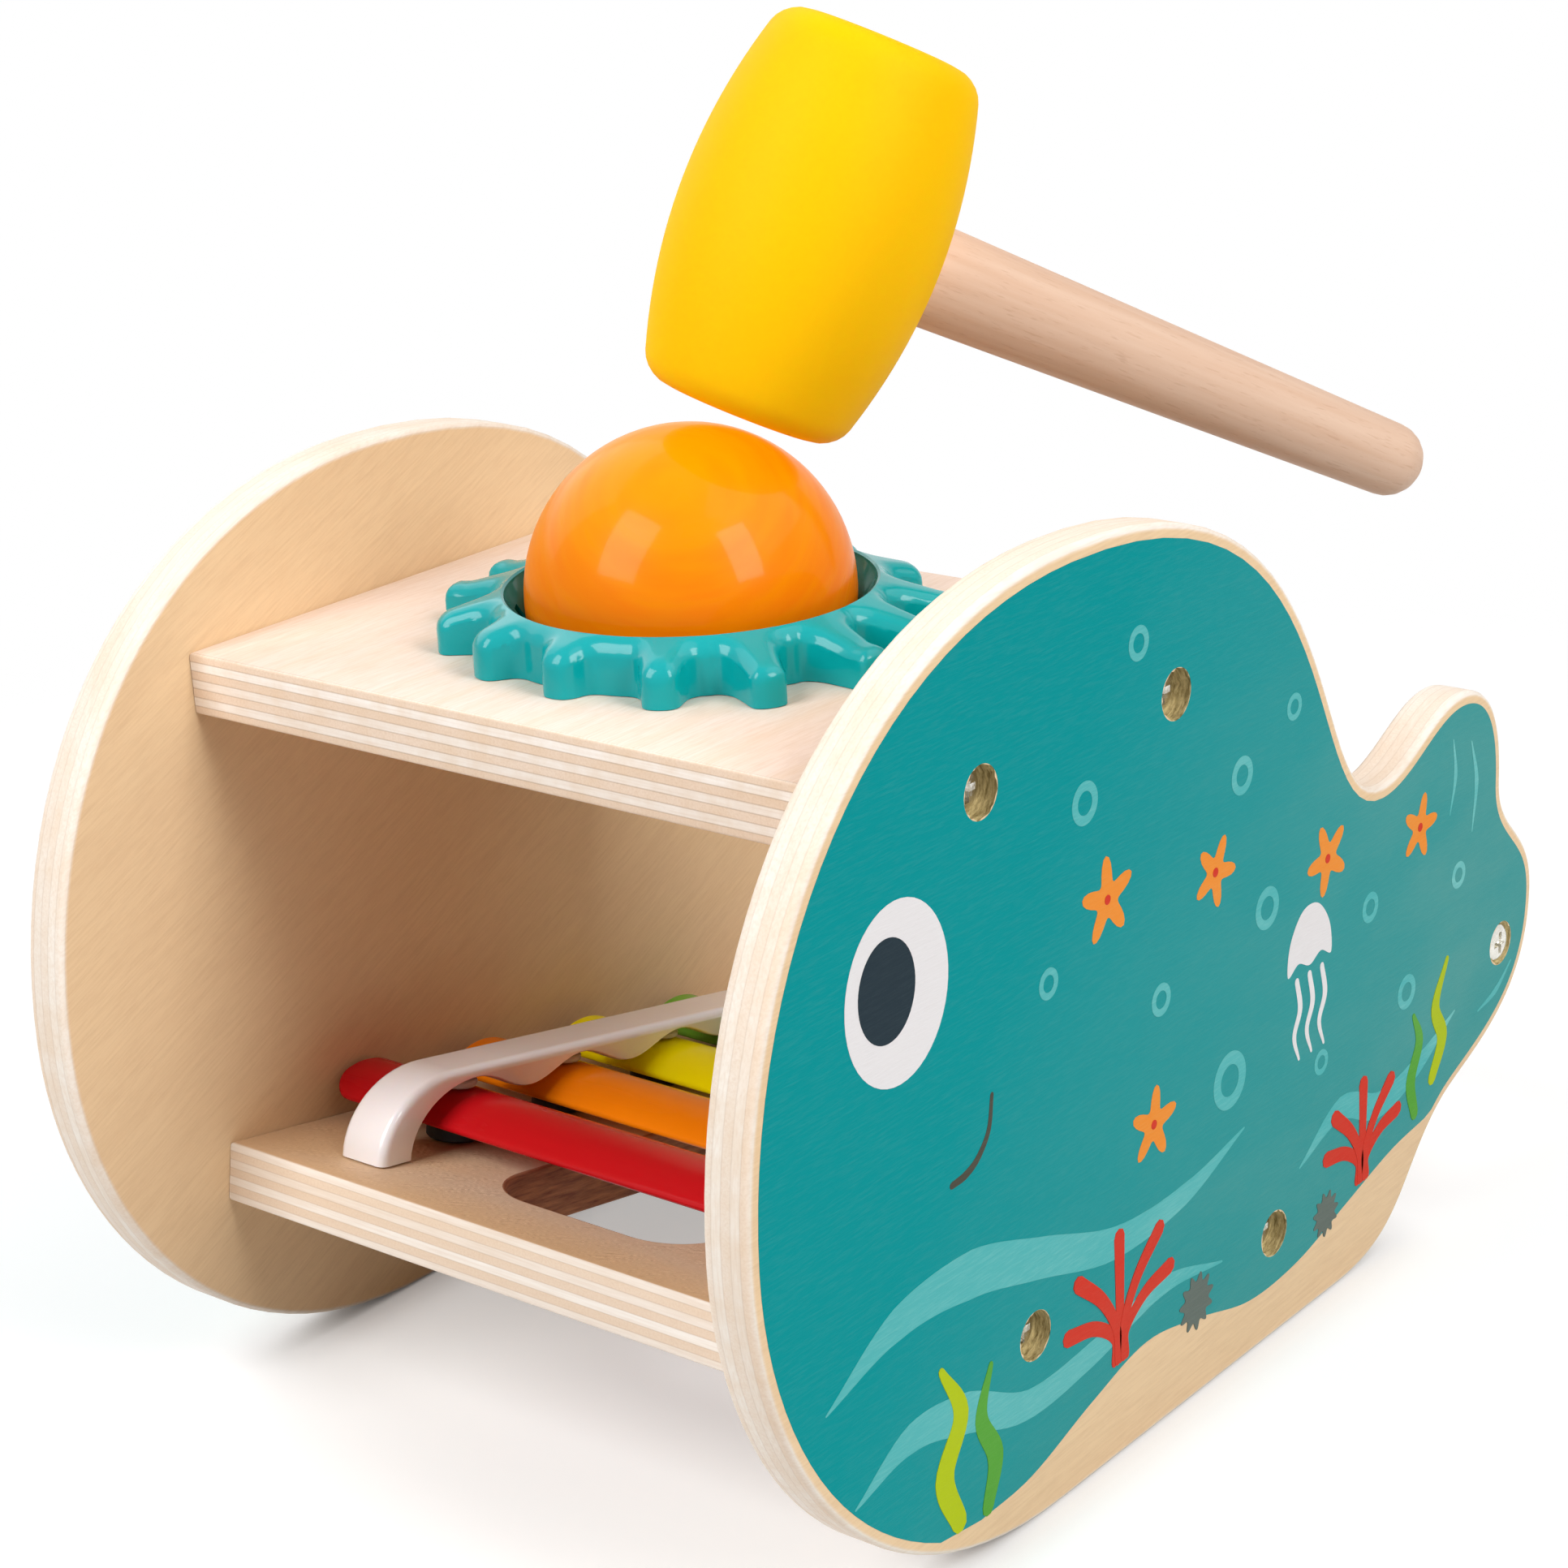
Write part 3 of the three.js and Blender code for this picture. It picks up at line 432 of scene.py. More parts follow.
# %% Outline of the side panels
CURVE_STEPS = 26
WHALE = [
    ((34.1, 0), (-7.0, 0), (-30.1, 32.2)),
    ((-30.1, 62.6), (-30.1, 102.2), (-5.0, 134.5)),
    ((39.9, 134.5), (111.5, 134.5), (99.9, 78.2)),
    ((121.6, 78.2), (130.0, 78.2), (136.7, 85.5)),
    ((145.5, 85.5), (151.4, 85.5), (159.5, 82.6)),
    ((159.5, 67.7), (159.5, 58.1), (171.7, 56.9)),
    ((171.7, 45.2), (171.7, 25.2), (150.88, 22.91)),
    ((143.1, 18.6), (130.51, 11.62), (131.2, 0)),
    ((110.5, 0), (90, 0), (60, 0)),
]
whale = []
for (begin_at, leave, reach), (finish_at, _, _) in zip(WHALE, WHALE[1:] + WHALE[:1]):
    whale += bezier(begin_at, leave, reach, finish_at, CURVE_STEPS)
print("outline points:", len(whale))

# %% [markdown]
# ## Screws
# Zinc-plated steel screws with a flat countersunk head and a cross recess hold the panels. In the
# holes they catch the light as small bright glints. The recess is modelled, because it is what the
# eye finds first. It is a cross-shaped hole in the head's cap that narrows to its floor. Plating,
# moulded plastic and lacquer are all smooth skins, so they share one function.

# %% Smooth finishes, and zinc-plated steel
def smooth_finish(name, shader, colours, cloud_mm, gloss, ripple_mm, ripple_depth):
    """Clouds of two near colours, a gloss that varies with them, and a fine ripple."""
    material, tree, place = begin(name)
    flow = mottle(tree, place, *cloud_mm)
    ripple = mottle(tree, place, ripple_mm)
    dress(tree, {
        **shader,
        "Base Color": add(tree, "Mix", flow, *colours, data_type="RGBA"),
        "Roughness": add(tree, "MapRange", flow, 0.3, 0.7, *gloss),
        "Normal": add(tree, "Bump", {"Height": ripple, "Distance": ripple_depth * MM}),
    })
    return material


# Plating is a bright metal, and its crystals break a glint up a little
zinc = smooth_finish(
    "zinc-plated steel", {"Metallic": 1.0}, ("#f0eee8", "#cbc7ba"), [1.5], (0.12, 0.26), 0.9, 0.12)

# %% A countersunk screw
HEAD_RADIUS, HEAD_HEIGHT = 3.3, 1.9
HEAD_DOME = ((0, 0), (0.35, 0.1), (0.65, 0.27), (0.87, 0.5), (1, 0.8))
SHANK_RADIUS, SCREW_LENGTH, SCREW_TIP = 1.5, 28.0, 3.0
THREAD_PITCH, THREAD_ROOT, THREAD_START = 1.3, 0.8, 1.0
PAN_RISE, PAN_EASE = 0.3, 0.2
RECESS_REACH, RECESS_WIDTH, RECESS_RIM = 1.85, 0.95, 0.15
RECESS_STEPS = ((1, 1, 0), (0.85, 0.9, -0.5), (0.4, 0.7, -1.3))


def cross(reach, width):
    half = width / 2
    quarter = [Vector(point) for point in ((reach, -half), (reach, half), (half, half))]
    return [Matrix.Rotation(math.pi / 2 * i, 2) @ p for i in range(4) for p in quarter]


def screw(name, head, point_to, nodes, radius=HEAD_RADIUS, shank=SHANK_RADIUS, length=SCREW_LENGTH, cone=True):
    skin = Skin()
    flat = RECESS_REACH + RECESS_RIM
    profile = [(flat + (radius - flat) * out, -drop) for out, drop in HEAD_DOME]
    if not cone:
        profile += [(radius, PAN_RISE - HEAD_HEIGHT), (radius - PAN_EASE, -HEAD_HEIGHT)]
    profile.append((shank, -HEAD_HEIGHT))
    depth = -HEAD_HEIGHT - THREAD_START
    while depth > SCREW_TIP - length:
        profile += [(shank * THREAD_ROOT, depth), (shank, depth - THREAD_PITCH / 2)]
        depth -= THREAD_PITCH
    rings = [skin.level(circle(r, 40), h) for r, h in profile]
    skin.walls(rings)
    skin.tip(rings[-1], (0, 0, -length))
    recess = [skin.level(cross(RECESS_REACH * r, RECESS_WIDTH * w), h) for r, w, h in RECESS_STEPS]
    skin.walls(recess)
    skin.cap(recess[-1])
    skin.cap(rings[0], recess[0])
    aim = Vector(point_to).to_track_quat("Z", "Y").to_matrix().to_4x4()
    piece(name, skin, "bench", [zinc], nodes, Matrix.Translation(head * MM) @ aim)


# %% Panel screws
SIDES = {"right": 1, "left": -1}
PANEL_SCREWS = ("top_front", "top_back", "low_front", "low_back", "tail")
screw_places = {}
for side, out in SIDES.items():
    for spot in PANEL_SCREWS:
        node = f"screw_{side}_{spot}"
        low, high = solid_box(node)
        head = (low + high) / 2
        head.x = high.x if out > 0 else low.x
        screw(f"panel_screw_{side}_{spot}", head, (out, 0, 0), [node])
        screw_places[spot] = (head.y - FRONT_Y, head.z, abs(head.x - MIDDLE_X) - INNER_GAP / 2)
print("panel screws at", {k: tuple(round(n, 1) for n in v) for k, v in screw_places.items()})

# %% [markdown]
# ## Side panels
# The panels are sawn, sanded round along their edges, and bored for the screws. The rings follow the
# outline, and each screw hole is a short stack of circles, a little uneven, because a drill tears
# plywood. The outer face lies lower than the solid by the height of the ink that is printed on it.

# %% Two plywood panels
LAYER = 0.04
LAYERS = 4
FACE = PANEL_THICKNESS - LAYERS * LAYER
EDGE_ROUND = 1.0
PILOT_RADIUS, BORE_RADIUS = 1.7, 3.55
SEAT_ROOM, SEAT_DEPTH = 0.1, 0.35
TEAR_DEPTH, TEAR_SCALE = 0.12, 1.3


def on_panel(out, height):
    return lambda point: bench(out * (INNER_GAP / 2 + height), point.x, point.y)


def bore(skin, out, y, z, head):
    """A hole with a seat for the screw's head, torn a little in its wide part."""
    rings = []
    for radius, height in (
        (PILOT_RADIUS, 0), (PILOT_RADIUS, head - HEAD_HEIGHT - SEAT_ROOM),
        (HEAD_RADIUS + SEAT_ROOM, head - SEAT_DEPTH), (BORE_RADIUS, head),
        (BORE_RADIUS, (head + FACE) / 2), (BORE_RADIUS, FACE),
    ):
        ragged = TEAR_DEPTH if radius == BORE_RADIUS else 0
        loop = []
        for p in circle(radius, 36):
            tear = ragged * noise.noise(Vector((p.x * TEAR_SCALE + y, p.y * TEAR_SCALE + z, height * 2)))
            loop.append(Vector((y, z)) + p * (1 + tear))
        rings.append(skin.ring(map(on_panel(out, height), loop)))
    skin.walls(rings, finish=1)
    return rings


for side, out in SIDES.items():
    skin = Skin()
    edge = [skin.ring(map(on_panel(out, height), inset(whale, move)))
            for height, move in rounded(0, FACE, EDGE_ROUND)]
    skin.walls(edge)
    bores = [bore(skin, out, *place) for place in screw_places.values()]
    for end in (0, -1):
        skin.cap(edge[end], *[rings[end] for rings in bores])
    finishes = [panel_plywood[side], bored_wood]
    piece(f"whale_panel_{side}", skin, "bench", finishes, [f"side_panel_{side}"])

# %% [markdown]
# ## Printing inks
# The outer faces are screen printed. The ink is thin and matte, so the wood's fibres show through it
# as fine streaks, and the big teal field is a little paler towards the tail. Ink could be painted by
# a mask in the plywood's nodes, but cut-out layers have crisp edges, and every shape stays editable.

# %% Inks
FADE_FROM, FADE_TO = -35, 110


def ink(name, code, faded, streak, tail_fade=0.0):
    material, tree, place = begin(f"{name} screen ink")
    fibre = mottle(tree, place, 0.5, 3.6, 0.3, detail=4.0, roughness=0.65)
    broad = mottle(tree, place, 40, 30, 12, detail=4.0)
    slant = add(tree, "VectorMath", place, (0, 1, -0.7), operation="DOT_PRODUCT").outputs["Value"]
    to_tail = add(tree, "MapRange", slant, (FRONT_Y + FADE_FROM) * MM, (FRONT_Y + FADE_TO) * MM)
    patchy = add(tree, "MapRange", broad, 0.4, 0.7, tail_fade, tail_fade + 2 * streak)
    # The field is paler in broad patches towards the tail
    paler_to_tail = add(tree, "Math", patchy, to_tail, operation="MULTIPLY")
    rubbed = add(tree, "MapRange", fibre, 0.45, 0.75, 0.0, streak)
    fade = add(tree, "Math", rubbed, paler_to_tail, operation="ADD", use_clamp=True)
    dress(tree, {
        "Base Color": add(tree, "Mix", fade, code, faded, data_type="RGBA"),
        "Roughness": 0.6, "Specular IOR Level": 0.05,
        "Normal": add(tree, "Bump", {"Height": fibre, "Distance": 0.06 * MM}),
    })
    return material


teal_ink = ink("teal", "#009093", "#5c9f9b", 0.14, 0.5)
inks = {
    "light": ink("pale teal", "#56b3b3", "#86c9c5", 0.35),
    "white": ink("white", "#e8e4e4", "#ddd6d4", 0.2),
    "dark": ink("slate", "#27343c", "#3d4a50", 0.25),
    "brown": ink("umber", "#4d4a40", "#6a675a", 0.25),
    "orange": ink("orange", "#ee8f37", "#e9a55e", 0.25),
    "red": ink("red", "#d23a2b", "#c95a48", 0.2),
    "lime": ink("lime", "#b4c51c", "#a9b83a", 0.2),
    "green": ink("green", "#58a13b", "#71ad57", 0.2),
    "grey": ink("grey", "#667069", "#7f8881", 0.2),
}

# %% [markdown]
# ## A print of sea life
# The whale keeps its own eye and smile. Round them swim simple shapes that anyone could draw:
# starfish, rings, a jellyfish, kelp, anemones and long waves over a bare-wood sea bed. Each is a
# closed outline. A stroke is a soft line with a width at each point, as from a brush.

# %% Shapes for the print
def ellipse(y, z, half_y, half_z, count=48):
    return [Vector((y + p.x * half_y, z + p.y * half_z)) for p in circle(1, count)]


def stroke(points, widths, steps=8):
    line = smooth_line(points, steps)
    wide = []
    for i in range(len(line)):
        j = min(i // steps, len(widths) - 2)
        share = i / steps - j
        wide.append((widths[j] * (1 - share) + widths[j + 1] * share) / 2)
    ahead = [(b - a).normalized() for a, b in zip(line[:1] + line[:-1], line[1:] + line[-1:])]
    left = [p + Vector((-d.y, d.x)) * w for p, d, w in zip(line, ahead, wide)]
    right = [p - Vector((-d.y, d.x)) * w for p, d, w in zip(line, ahead, wide)]
    far, near = ([end + Matrix.Rotation(-a, 2) @ (side - end) for a in (0.8, 1.57, 2.35)]
                 for end, side in ((line[-1], left[-1]), (line[0], right[0])))
    return left + far + right[::-1] + near


def starfish(y, z, radius, lean_deg, arms=5, waist=0.42):
    loop = []
    for i in range(arms * 12):
        turn = 2 * math.pi * i / (arms * 12)
        reach = radius * (waist + (1 - waist) * (0.5 + 0.5 * math.cos(arms * turn)) ** 1.4)
        heading = turn + math.radians(lean_deg)
        loop.append(Vector((y + reach * math.cos(heading), z + reach * math.sin(heading))))
    return loop


def print_on(name, colour, level, shapes):
    """Prints shapes, each an outline with its holes, on both outer faces."""
    for side, out in SIDES.items():
        skin = Skin()
        for loops in shapes:
            stacks = [[skin.ring(map(on_panel(out, height), loop)) for height in (FACE, FACE + level * LAYER)]
                      for loop in loops]
            for stack in stacks:
                skin.walls(stack)
            for end in (0, 1):
                skin.cap(*[stack[end] for stack in stacks])
        piece(f"print_{name}_{side}", skin, "bench", [colour])


# %% Teal field over a bare-wood sea bed
RIM = 1.9
CHIN_HEIGHT, RUMP_BACK = 8.5, 139
SEA_BED = [(137, 17.8), (126, 16.5), (112, 13), (98, 9.5), (84, 9),
           (70, 12.5), (56, 15), (42, 12), (27, 7.6), (15, 6.8)]
field = inset(whale, RIM)
chin = min(range(CURVE_STEPS), key=lambda i: abs(field[i].y - CHIN_HEIGHT))
rump = min(range(7 * CURVE_STEPS, 8 * CURVE_STEPS), key=lambda i: abs(field[i].x - RUMP_BACK))
sea = field[chin : rump + 1] + smooth_line(SEA_BED)
hole = BORE_RADIUS + 0.1
print_on("sea", teal_ink, 1, [(sea, *[ellipse(y, z, hole, hole, 36) for y, z, _ in screw_places.values()])])

# %% Eye and smile
print_on("eye_white", inks["white"], 2, [(ellipse(0.6, 88.3, 10.6, 12.1),)])
print_on("pupil", inks["dark"], 3, [(ellipse(-1.5, 89.3, 5.8, 6.85),)])
SMILE = [(19.8, 67.4), (18.9, 62.8), (16.4, 59.8), (13.6, 58.5), (10.6, 58.2)]
print_on("smile", inks["brown"], 2, [(stroke(SMILE, (0.7, 0.9, 1.1, 1.2, 1.0)),)])

# %% Waves, rings and starfish
WAVES = [
    ([(-17, 38), (-2, 44), (14, 44), (30, 39.5), (48, 34), (66, 34), (82, 38)], (0.3, 5, 7, 6, 5, 3.5, 0.3)),
    ([(-12, 22), (0, 26.5), (12, 24.5), (26, 19), (42, 19.5), (60, 22), (76, 19)], (0.3, 4.5, 6, 4.5, 4, 3, 0.3)),
    ([(98, 25), (110, 30), (122, 26), (134, 28), (146, 33)], (0.3, 4, 4.5, 3.5, 0.3)),
]
RINGS = [(42, 100, 3.0), (55, 118, 2.4), (81, 92, 2.8), (95, 98, 2.0), (33, 78, 2.2), (60, 66, 2.4),
         (88, 70, 3.2), (118, 60, 2.4), (146, 56, 2.2), (130, 42, 2.8), (78, 47, 4.4), (104, 40, 2.0)]
RING_HOLLOW = 0.55
STARS = [(47, 85, 6.2, 20), (74, 80, 5.4, 62), (105, 72, 5.8, 40), (133, 68, 5.4, 75), (58, 48, 5.8, 10)]
print_on("waves", inks["light"], 2, [(stroke(*wave),) for wave in WAVES])
print_on("rings", inks["light"], 2, [[ellipse(y, z, r * s, r * s) for s in (1, RING_HOLLOW)] for y, z, r in RINGS])
print_on("starfish", inks["orange"], 2, [(starfish(*star),) for star in STARS])
print_on("starfish_dots", inks["red"], 3, [(ellipse(y, z, 0.7, 0.7, 16),) for y, z, _, _ in STARS])

# %% Kelp and anemones
KELP = [
    ([(10, 9), (7, 17), (11, 25), (7, 33)], (3.2, 4.2, 3.4, 1.2), "lime"),
    ([(16.5, 8), (18.5, 15), (15.5, 22), (18, 29)], (2.6, 3.6, 2.8, 1.0), "green"),
    ([(139, 24), (142, 30), (139.5, 36), (143, 43)], (2.4, 3.2, 2.6, 1.0), "lime"),
    ([(133.5, 20), (132, 26), (134.5, 32), (132.5, 37)], (2.2, 3.0, 2.4, 0.9), "green"),
]
for colour in ("lime", "green"):
    shapes = [(stroke(points, widths),) for points, widths, c in KELP if c == colour]
    print_on(f"kelp_{colour}", inks[colour], 3, shapes)


def anemone(y, z, height, fan_deg):
    arms = []
    for i in range(-2, 3):
        turn = math.radians(fan_deg * i / 2)
        reach = height * (1 - 0.07 * i**2)
        foot = Vector((y, z))
        out = [foot + Vector((math.sin(turn * s), math.cos(turn * 0.7 * s))) * reach * s for s in (0.3, 0.65, 1)]
        arms.append((stroke([(y + i * 0.75, z), *out], (1.4, 1.9, 2.2, 2.6)),))
    return arms


for i, arms in enumerate(zip(anemone(49, 15.5, 19, 70), anemone(117, 15.5, 16, 70))):
    print_on(f"anemone_arms_{i}", inks["red"], 3 + i % 2, arms)

# %% Urchins, a jellyfish and lines on the flukes
URCHINS = [(69, 15.5, 4.6, 9), (106, 14, 3.8, 4)]
print_on("urchins", inks["grey"], 3, [(starfish(*urchin, arms=11, waist=0.72),) for urchin in URCHINS])
BELL = [(94, 57), (94.6, 62), (98, 66), (102.4, 66), (105.8, 62), (106.4, 57), (103.4, 58.2), (100.2, 57), (97, 58.2)]
tentacles = [(stroke([(y, 55.6), (y + 1, 51), (y - 0.6, 47), (y + 0.8, 43)], (1.1, 1.3, 1.1, 0.5)),)
             for y in (96.6, 100.2, 103.8)]
print_on("jellyfish", inks["white"], 2, [(smooth_line(BELL, closed=True),), *tentacles])
FLUKE_LINES = [
    ([(149, 77), (151, 70), (150, 62)], 1.3),
    ([(143, 79), (144, 73), (142.5, 67)], 1.1),
    ([(154, 30), (160, 31.5), (165, 35)], 1.2),
]
print_on("fluke_lines", inks["light"], 2, [(stroke(points, (0.3, wide, 0.3)),) for points, wide in FLUKE_LINES])

# %% [markdown]
# ## Boards
# The boards are the same plywood, sawn square, with their edges just eased by sandpaper. The top
# board has the round hole for the ring. The lower board lies in its own tilted frame, so that the
# xylophone on it can be drawn level, and its long sound hole lets the bars ring.

# %% Top board
EASED = 0.5
TOP_DEPTH = 83.3
RING_HOLE = 26.25
HALF_WIDTH = INNER_GAP / 2 - 0.1


def board(depth, hole, hole_finish):
    skin = Skin()
    corners = ((-HALF_WIDTH, 0), (HALF_WIDTH, 0), (HALF_WIDTH, depth), (-HALF_WIDTH, depth))
    outline = [Vector(corner) for corner in corners]
    steps = rounded(-BOARD_THICKNESS, 0, EASED, 3)
    edge = [skin.level(inset(outline, move), height) for height, move in steps]
    inner = [skin.level(inset(hole, -move), height) for height, move in steps]
    skin.walls(edge)
    skin.walls(inner, hole_finish)
    for end in (0, -1):
        skin.cap(edge[end], inner[end])
    return skin


skin = board(TOP_DEPTH, [Vector((0, TOP_DEPTH / 2)) + p for p in circle(RING_HOLE, 96)], 0)
top_place = Matrix.Translation(bench(0, 0, TOP_FACE) * MM)
piece("top_board_birch", skin, "bench", [board_plywood["top"]], ["top_board"], top_place)

# %% Lower board
LOWER_LENGTH, LOWER_FRONT, LOWER_HEIGHT = 129.0, -3.0, 38.8
SLOPE = math.radians(10.3)
lower_place = Matrix.Translation(bench(0, LOWER_FRONT, LOWER_HEIGHT) * MM) @ Matrix.Rotation(-SLOPE, 4, "X")
SOUND_HALF, SOUND_CORNER = 18.8, 9.0
SOUND_FRONT, SOUND_BACK = 12.65, 111.55
near_arc, far_arc = SOUND_FRONT + SOUND_CORNER, SOUND_BACK - SOUND_CORNER
sound_hole = []
for out, y, first in ((1, near_arc, -90), (1, far_arc, 0), (-1, far_arc, 90), (-1, near_arc, 180)):
    middle = Vector((out * (SOUND_HALF - SOUND_CORNER), y))
    for i in range(13):
        turn = math.radians(first + 90 * i / 12)
        sound_hole.append(middle + Vector((math.cos(turn), math.sin(turn))) * SOUND_CORNER)
skin = board(LOWER_LENGTH, sound_hole, 1)
finishes = [board_plywood["lower"], routed_wood_painted_shade]
piece("lower_board_birch", skin, "bench", finishes, ["lower_board"], lower_place)

# %% [markdown]
# ## Splash ring
# The ring is moulded in glossy ABS. Its fingers are drops of water thrown outwards, thick and round
# on top, and ten slots split its sleeve into springy tabs that grip the ball. A bevel would pinch at
# the narrow tips, so each point of the top is lowered by its distance from the outline, which rolls
# every edge over evenly. A Boolean cuts the slots.

# %% Glossy turquoise ABS
# A polished mould gives a wet-looking shine over an even colour
SHINY_ABS = {"IOR": 1.53, "Specular IOR Level": 0.1, "Coat Weight": 0.34, "Coat Roughness": 0.035}
ring_abs = smooth_finish("turquoise ABS", SHINY_ABS, ("#00979a", "#08a2a6"), [14], (0.16, 0.26), 3, 0.012)

# %% Outline of the fingers
FINGERS = (-163, -138, -113, -86, -58, -34, -10, 11, 33, 57, 83, 107, 131, 155, 178)
VALLEY = 28.05


def finger_keys(turn):
    """One side of a finger: mm from its centre line, and radius. Round tip, steep flank, wide valley."""
    reach = 3.8 + 6.2 * math.cos(turn) ** 2
    tip = VALLEY + reach
    return [(0, tip), (1.5, tip - 0.25), (2.4, tip - 1.1), (2.8, VALLEY + 0.5 * reach),
            (3.3, VALLEY + 0.18 * reach), (4.5, VALLEY + 0.05)]


def finger_outline(steps):
    turns = [math.radians(turn) for turn in FINGERS]
    keys = []
    for turn, after in zip(turns, turns[1:] + [turns[0] + 2 * math.pi]):
        leave = [(turn + x / r, r) for x, r in finger_keys(turn)]
        arrive = [(after - x / r, r) for x, r in reversed(finger_keys(after)[1:])]
        keys += leave + [((turn + after) / 2, VALLEY)] + arrive
    return smooth_line([Vector((math.cos(a), math.sin(a))) * r for a, r in keys], steps, closed=True)


outline = finger_outline(4)
shore = finger_outline(12)
near_edge = kdtree.KDTree(len(shore))
for i, p in enumerate(shore):
    near_edge.insert((*p, 0), i)
near_edge.balance()
print("ring outline points:", len(outline))

# %% Ring with fingers
CREST_RADIUS, CREST_HEIGHT = 26.1, 7.7
TOP_ROUND, TOP_FALL, TIP_HEIGHT = 2.2, 0.27, 5.5
TOP_STEPS = (1, 0.985, 0.96, 0.92, 0.87, 0.8, 0.7, 0.58, 0.44, 0.3, 0.15, 0)
BEAD, TABS, SLEEVE = 23.25, 24.55, 25.95
INSIDE = ((25.75, 7.5), (25.6, 7.0), (24.5, 5.1), (23.4, 3.3), (BEAD, 3.0),
          (BEAD, 1.0), (TABS, -0.3), (TABS, -10.2), (SLEEVE, -10.2), (SLEEVE, 0.1))


def splash_height(p):
    """The top falls outwards, and rolls over into the wall along every finger and valley."""
    fall = max(CREST_HEIGHT - TOP_FALL * max(p.length - CREST_RADIUS, 0), TIP_HEIGHT)
    inward = max(TOP_ROUND - near_edge.find((*p, 0))[2], 0)
    return fall - TOP_ROUND + math.sqrt(TOP_ROUND**2 - inward**2)


skin = Skin()
rings = [skin.level(outline, height) for height in (0.1, 1.8)]
for share in TOP_STEPS:
    row = [p.normalized() * (CREST_RADIUS + (p.length - CREST_RADIUS) * share) for p in outline]
    rings.append(skin.ring((*p, splash_height(p)) for p in row))
rings += [skin.level([p.normalized() * radius for p in outline], height) for radius, height in INSIDE]
skin.walls(rings + rings[:1])
ring_place = Matrix.Translation(bench(0, TOP_DEPTH / 2, TOP_FACE) * MM)
ring = piece("splash_ring_abs", skin, "bench", [ring_abs], ["splash_ring"], ring_place)


# %% Slots by Boolean
def carve(target, skin, place):
    """Cuts a closed skin out of a piece, and leaves no helper behind."""
    mesh = closed_mesh("cutter", skin)
    cutter = put("cutter", mesh)
    cutter.matrix_world = place
    bpy.context.view_layer.update()
    cut = target.modifiers.new("cut", "BOOLEAN")
    cut.object = cutter
    cut.solver = "EXACT"
    shown = target.evaluated_get(bpy.context.evaluated_depsgraph_get())
    carved = bpy.data.meshes.new_from_object(shown)
    target.modifiers.clear()
    target.data = carved
    target.data.set_sharp_from_angle(angle=SHARP)
    bpy.data.objects.remove(cutter)
    bpy.data.meshes.remove(mesh)
    print(target.name, "faces after the cut:", len(carved.polygons))


SLOT_COUNT, SLOT_HALF = 10, 1.2
SLOT_INNER, SLOT_OUTER = 22, 26.15
SLOT_LOW, SLOT_HIGH = -12, 5
slots = Skin()
for i in range(SLOT_COUNT):
    turn = Matrix.Rotation(2 * math.pi * i / SLOT_COUNT, 2)
    corners = ((SLOT_INNER, -SLOT_HALF), (SLOT_OUTER, -SLOT_HALF), (SLOT_OUTER, SLOT_HALF), (SLOT_INNER, SLOT_HALF))
    loop = [turn @ Vector(corner) for corner in corners]
    slots.block([slots.level(loop, height) for height in (SLOT_LOW, SLOT_HIGH)])
carve(ring, slots, ring_place)

# %% [markdown]
# ## Ball
# A turned wooden ball, dipped in orange lacquer. The coat is thick and even, so it shines, but it
# dries with a faint orange-peel ripple, and its glow deepens where the wood's grain lies under it.

# %% Orange lacquer
ball_lacquer, tree, place = begin("orange lacquer on beech")
under = mottle(tree, place, 12, 12, 1.6, turn=(0.5, 0.4, 0))
# The orange is painted deeper low on the ball, as painted shade under the light from above
painted_shade_low = add(tree, "MapRange", add(tree, "SeparateXYZ", place).outputs["Z"], 22 * MM, -8 * MM)
uneven = add(tree, "MapRange", under, 0.3, 0.7, -0.12, 0.12)
depth = add(tree, "Math", painted_shade_low, uneven, operation="ADD", use_clamp=True)
peel = mottle(tree, place, 1.6)
dress(tree, {
    "Base Color": add(tree, "Mix", depth, "#ee9600", "#e86300", data_type="RGBA"),
    "Roughness": add(tree, "MapRange", under, 0.3, 0.7, 0.26, 0.36),
    "IOR": 1.5, "Specular IOR Level": 0.04, "Coat Weight": 0.15, "Coat Roughness": 0.09,
    "Normal": add(tree, "Bump", {"Height": peel, "Distance": 0.02 * MM}),
})

# %% The ball
BALL_STEPS = 48
ball_low, ball_high = solid_box("ball")
BALL_RADIUS = (ball_high.z - ball_low.z) / 2
arc = [math.pi * i / BALL_STEPS for i in range(1, BALL_STEPS)]
profile = [(BALL_RADIUS * math.sin(t), -BALL_RADIUS * math.cos(t)) for t in arc]
skin = Skin()
turned(skin, [(0, -BALL_RADIUS), *profile, (0, BALL_RADIUS)], 96)
ball_middle = (ball_low + ball_high) / 2
ball_place = Matrix.Translation(ball_middle * MM)
piece("lacquered_ball", skin, "ball", [ball_lacquer], ["ball"], ball_place)
print("ball diameter:", round(2 * BALL_RADIUS, 2))

# %% [markdown]
# ## Xylophone
# Four arched bars of lacquered steel lie on rubber pads. Two white rails arch over their ends, with
# a lobe between each two bars, and a small pin at each crossing keeps the bar from lifting. All of
# it is drawn in the lower board's tilted frame. Everything is spaced from the first bar.

# %% Rail plastic, rubber and lacquered steel
# Glossy white ABS lets light a little way in, which softens its shadows
GLOSSY_WHITE = {"IOR": 1.53, "Coat Weight": 0.8, "Coat Roughness": 0.05,
                "Subsurface Weight": 0.08, "Subsurface Scale": 0.002}
rail_abs = smooth_finish("white ABS", GLOSSY_WHITE, ("#faf6f8", "#f4eff2"), [10], (0.18, 0.28), 2, 0.008)
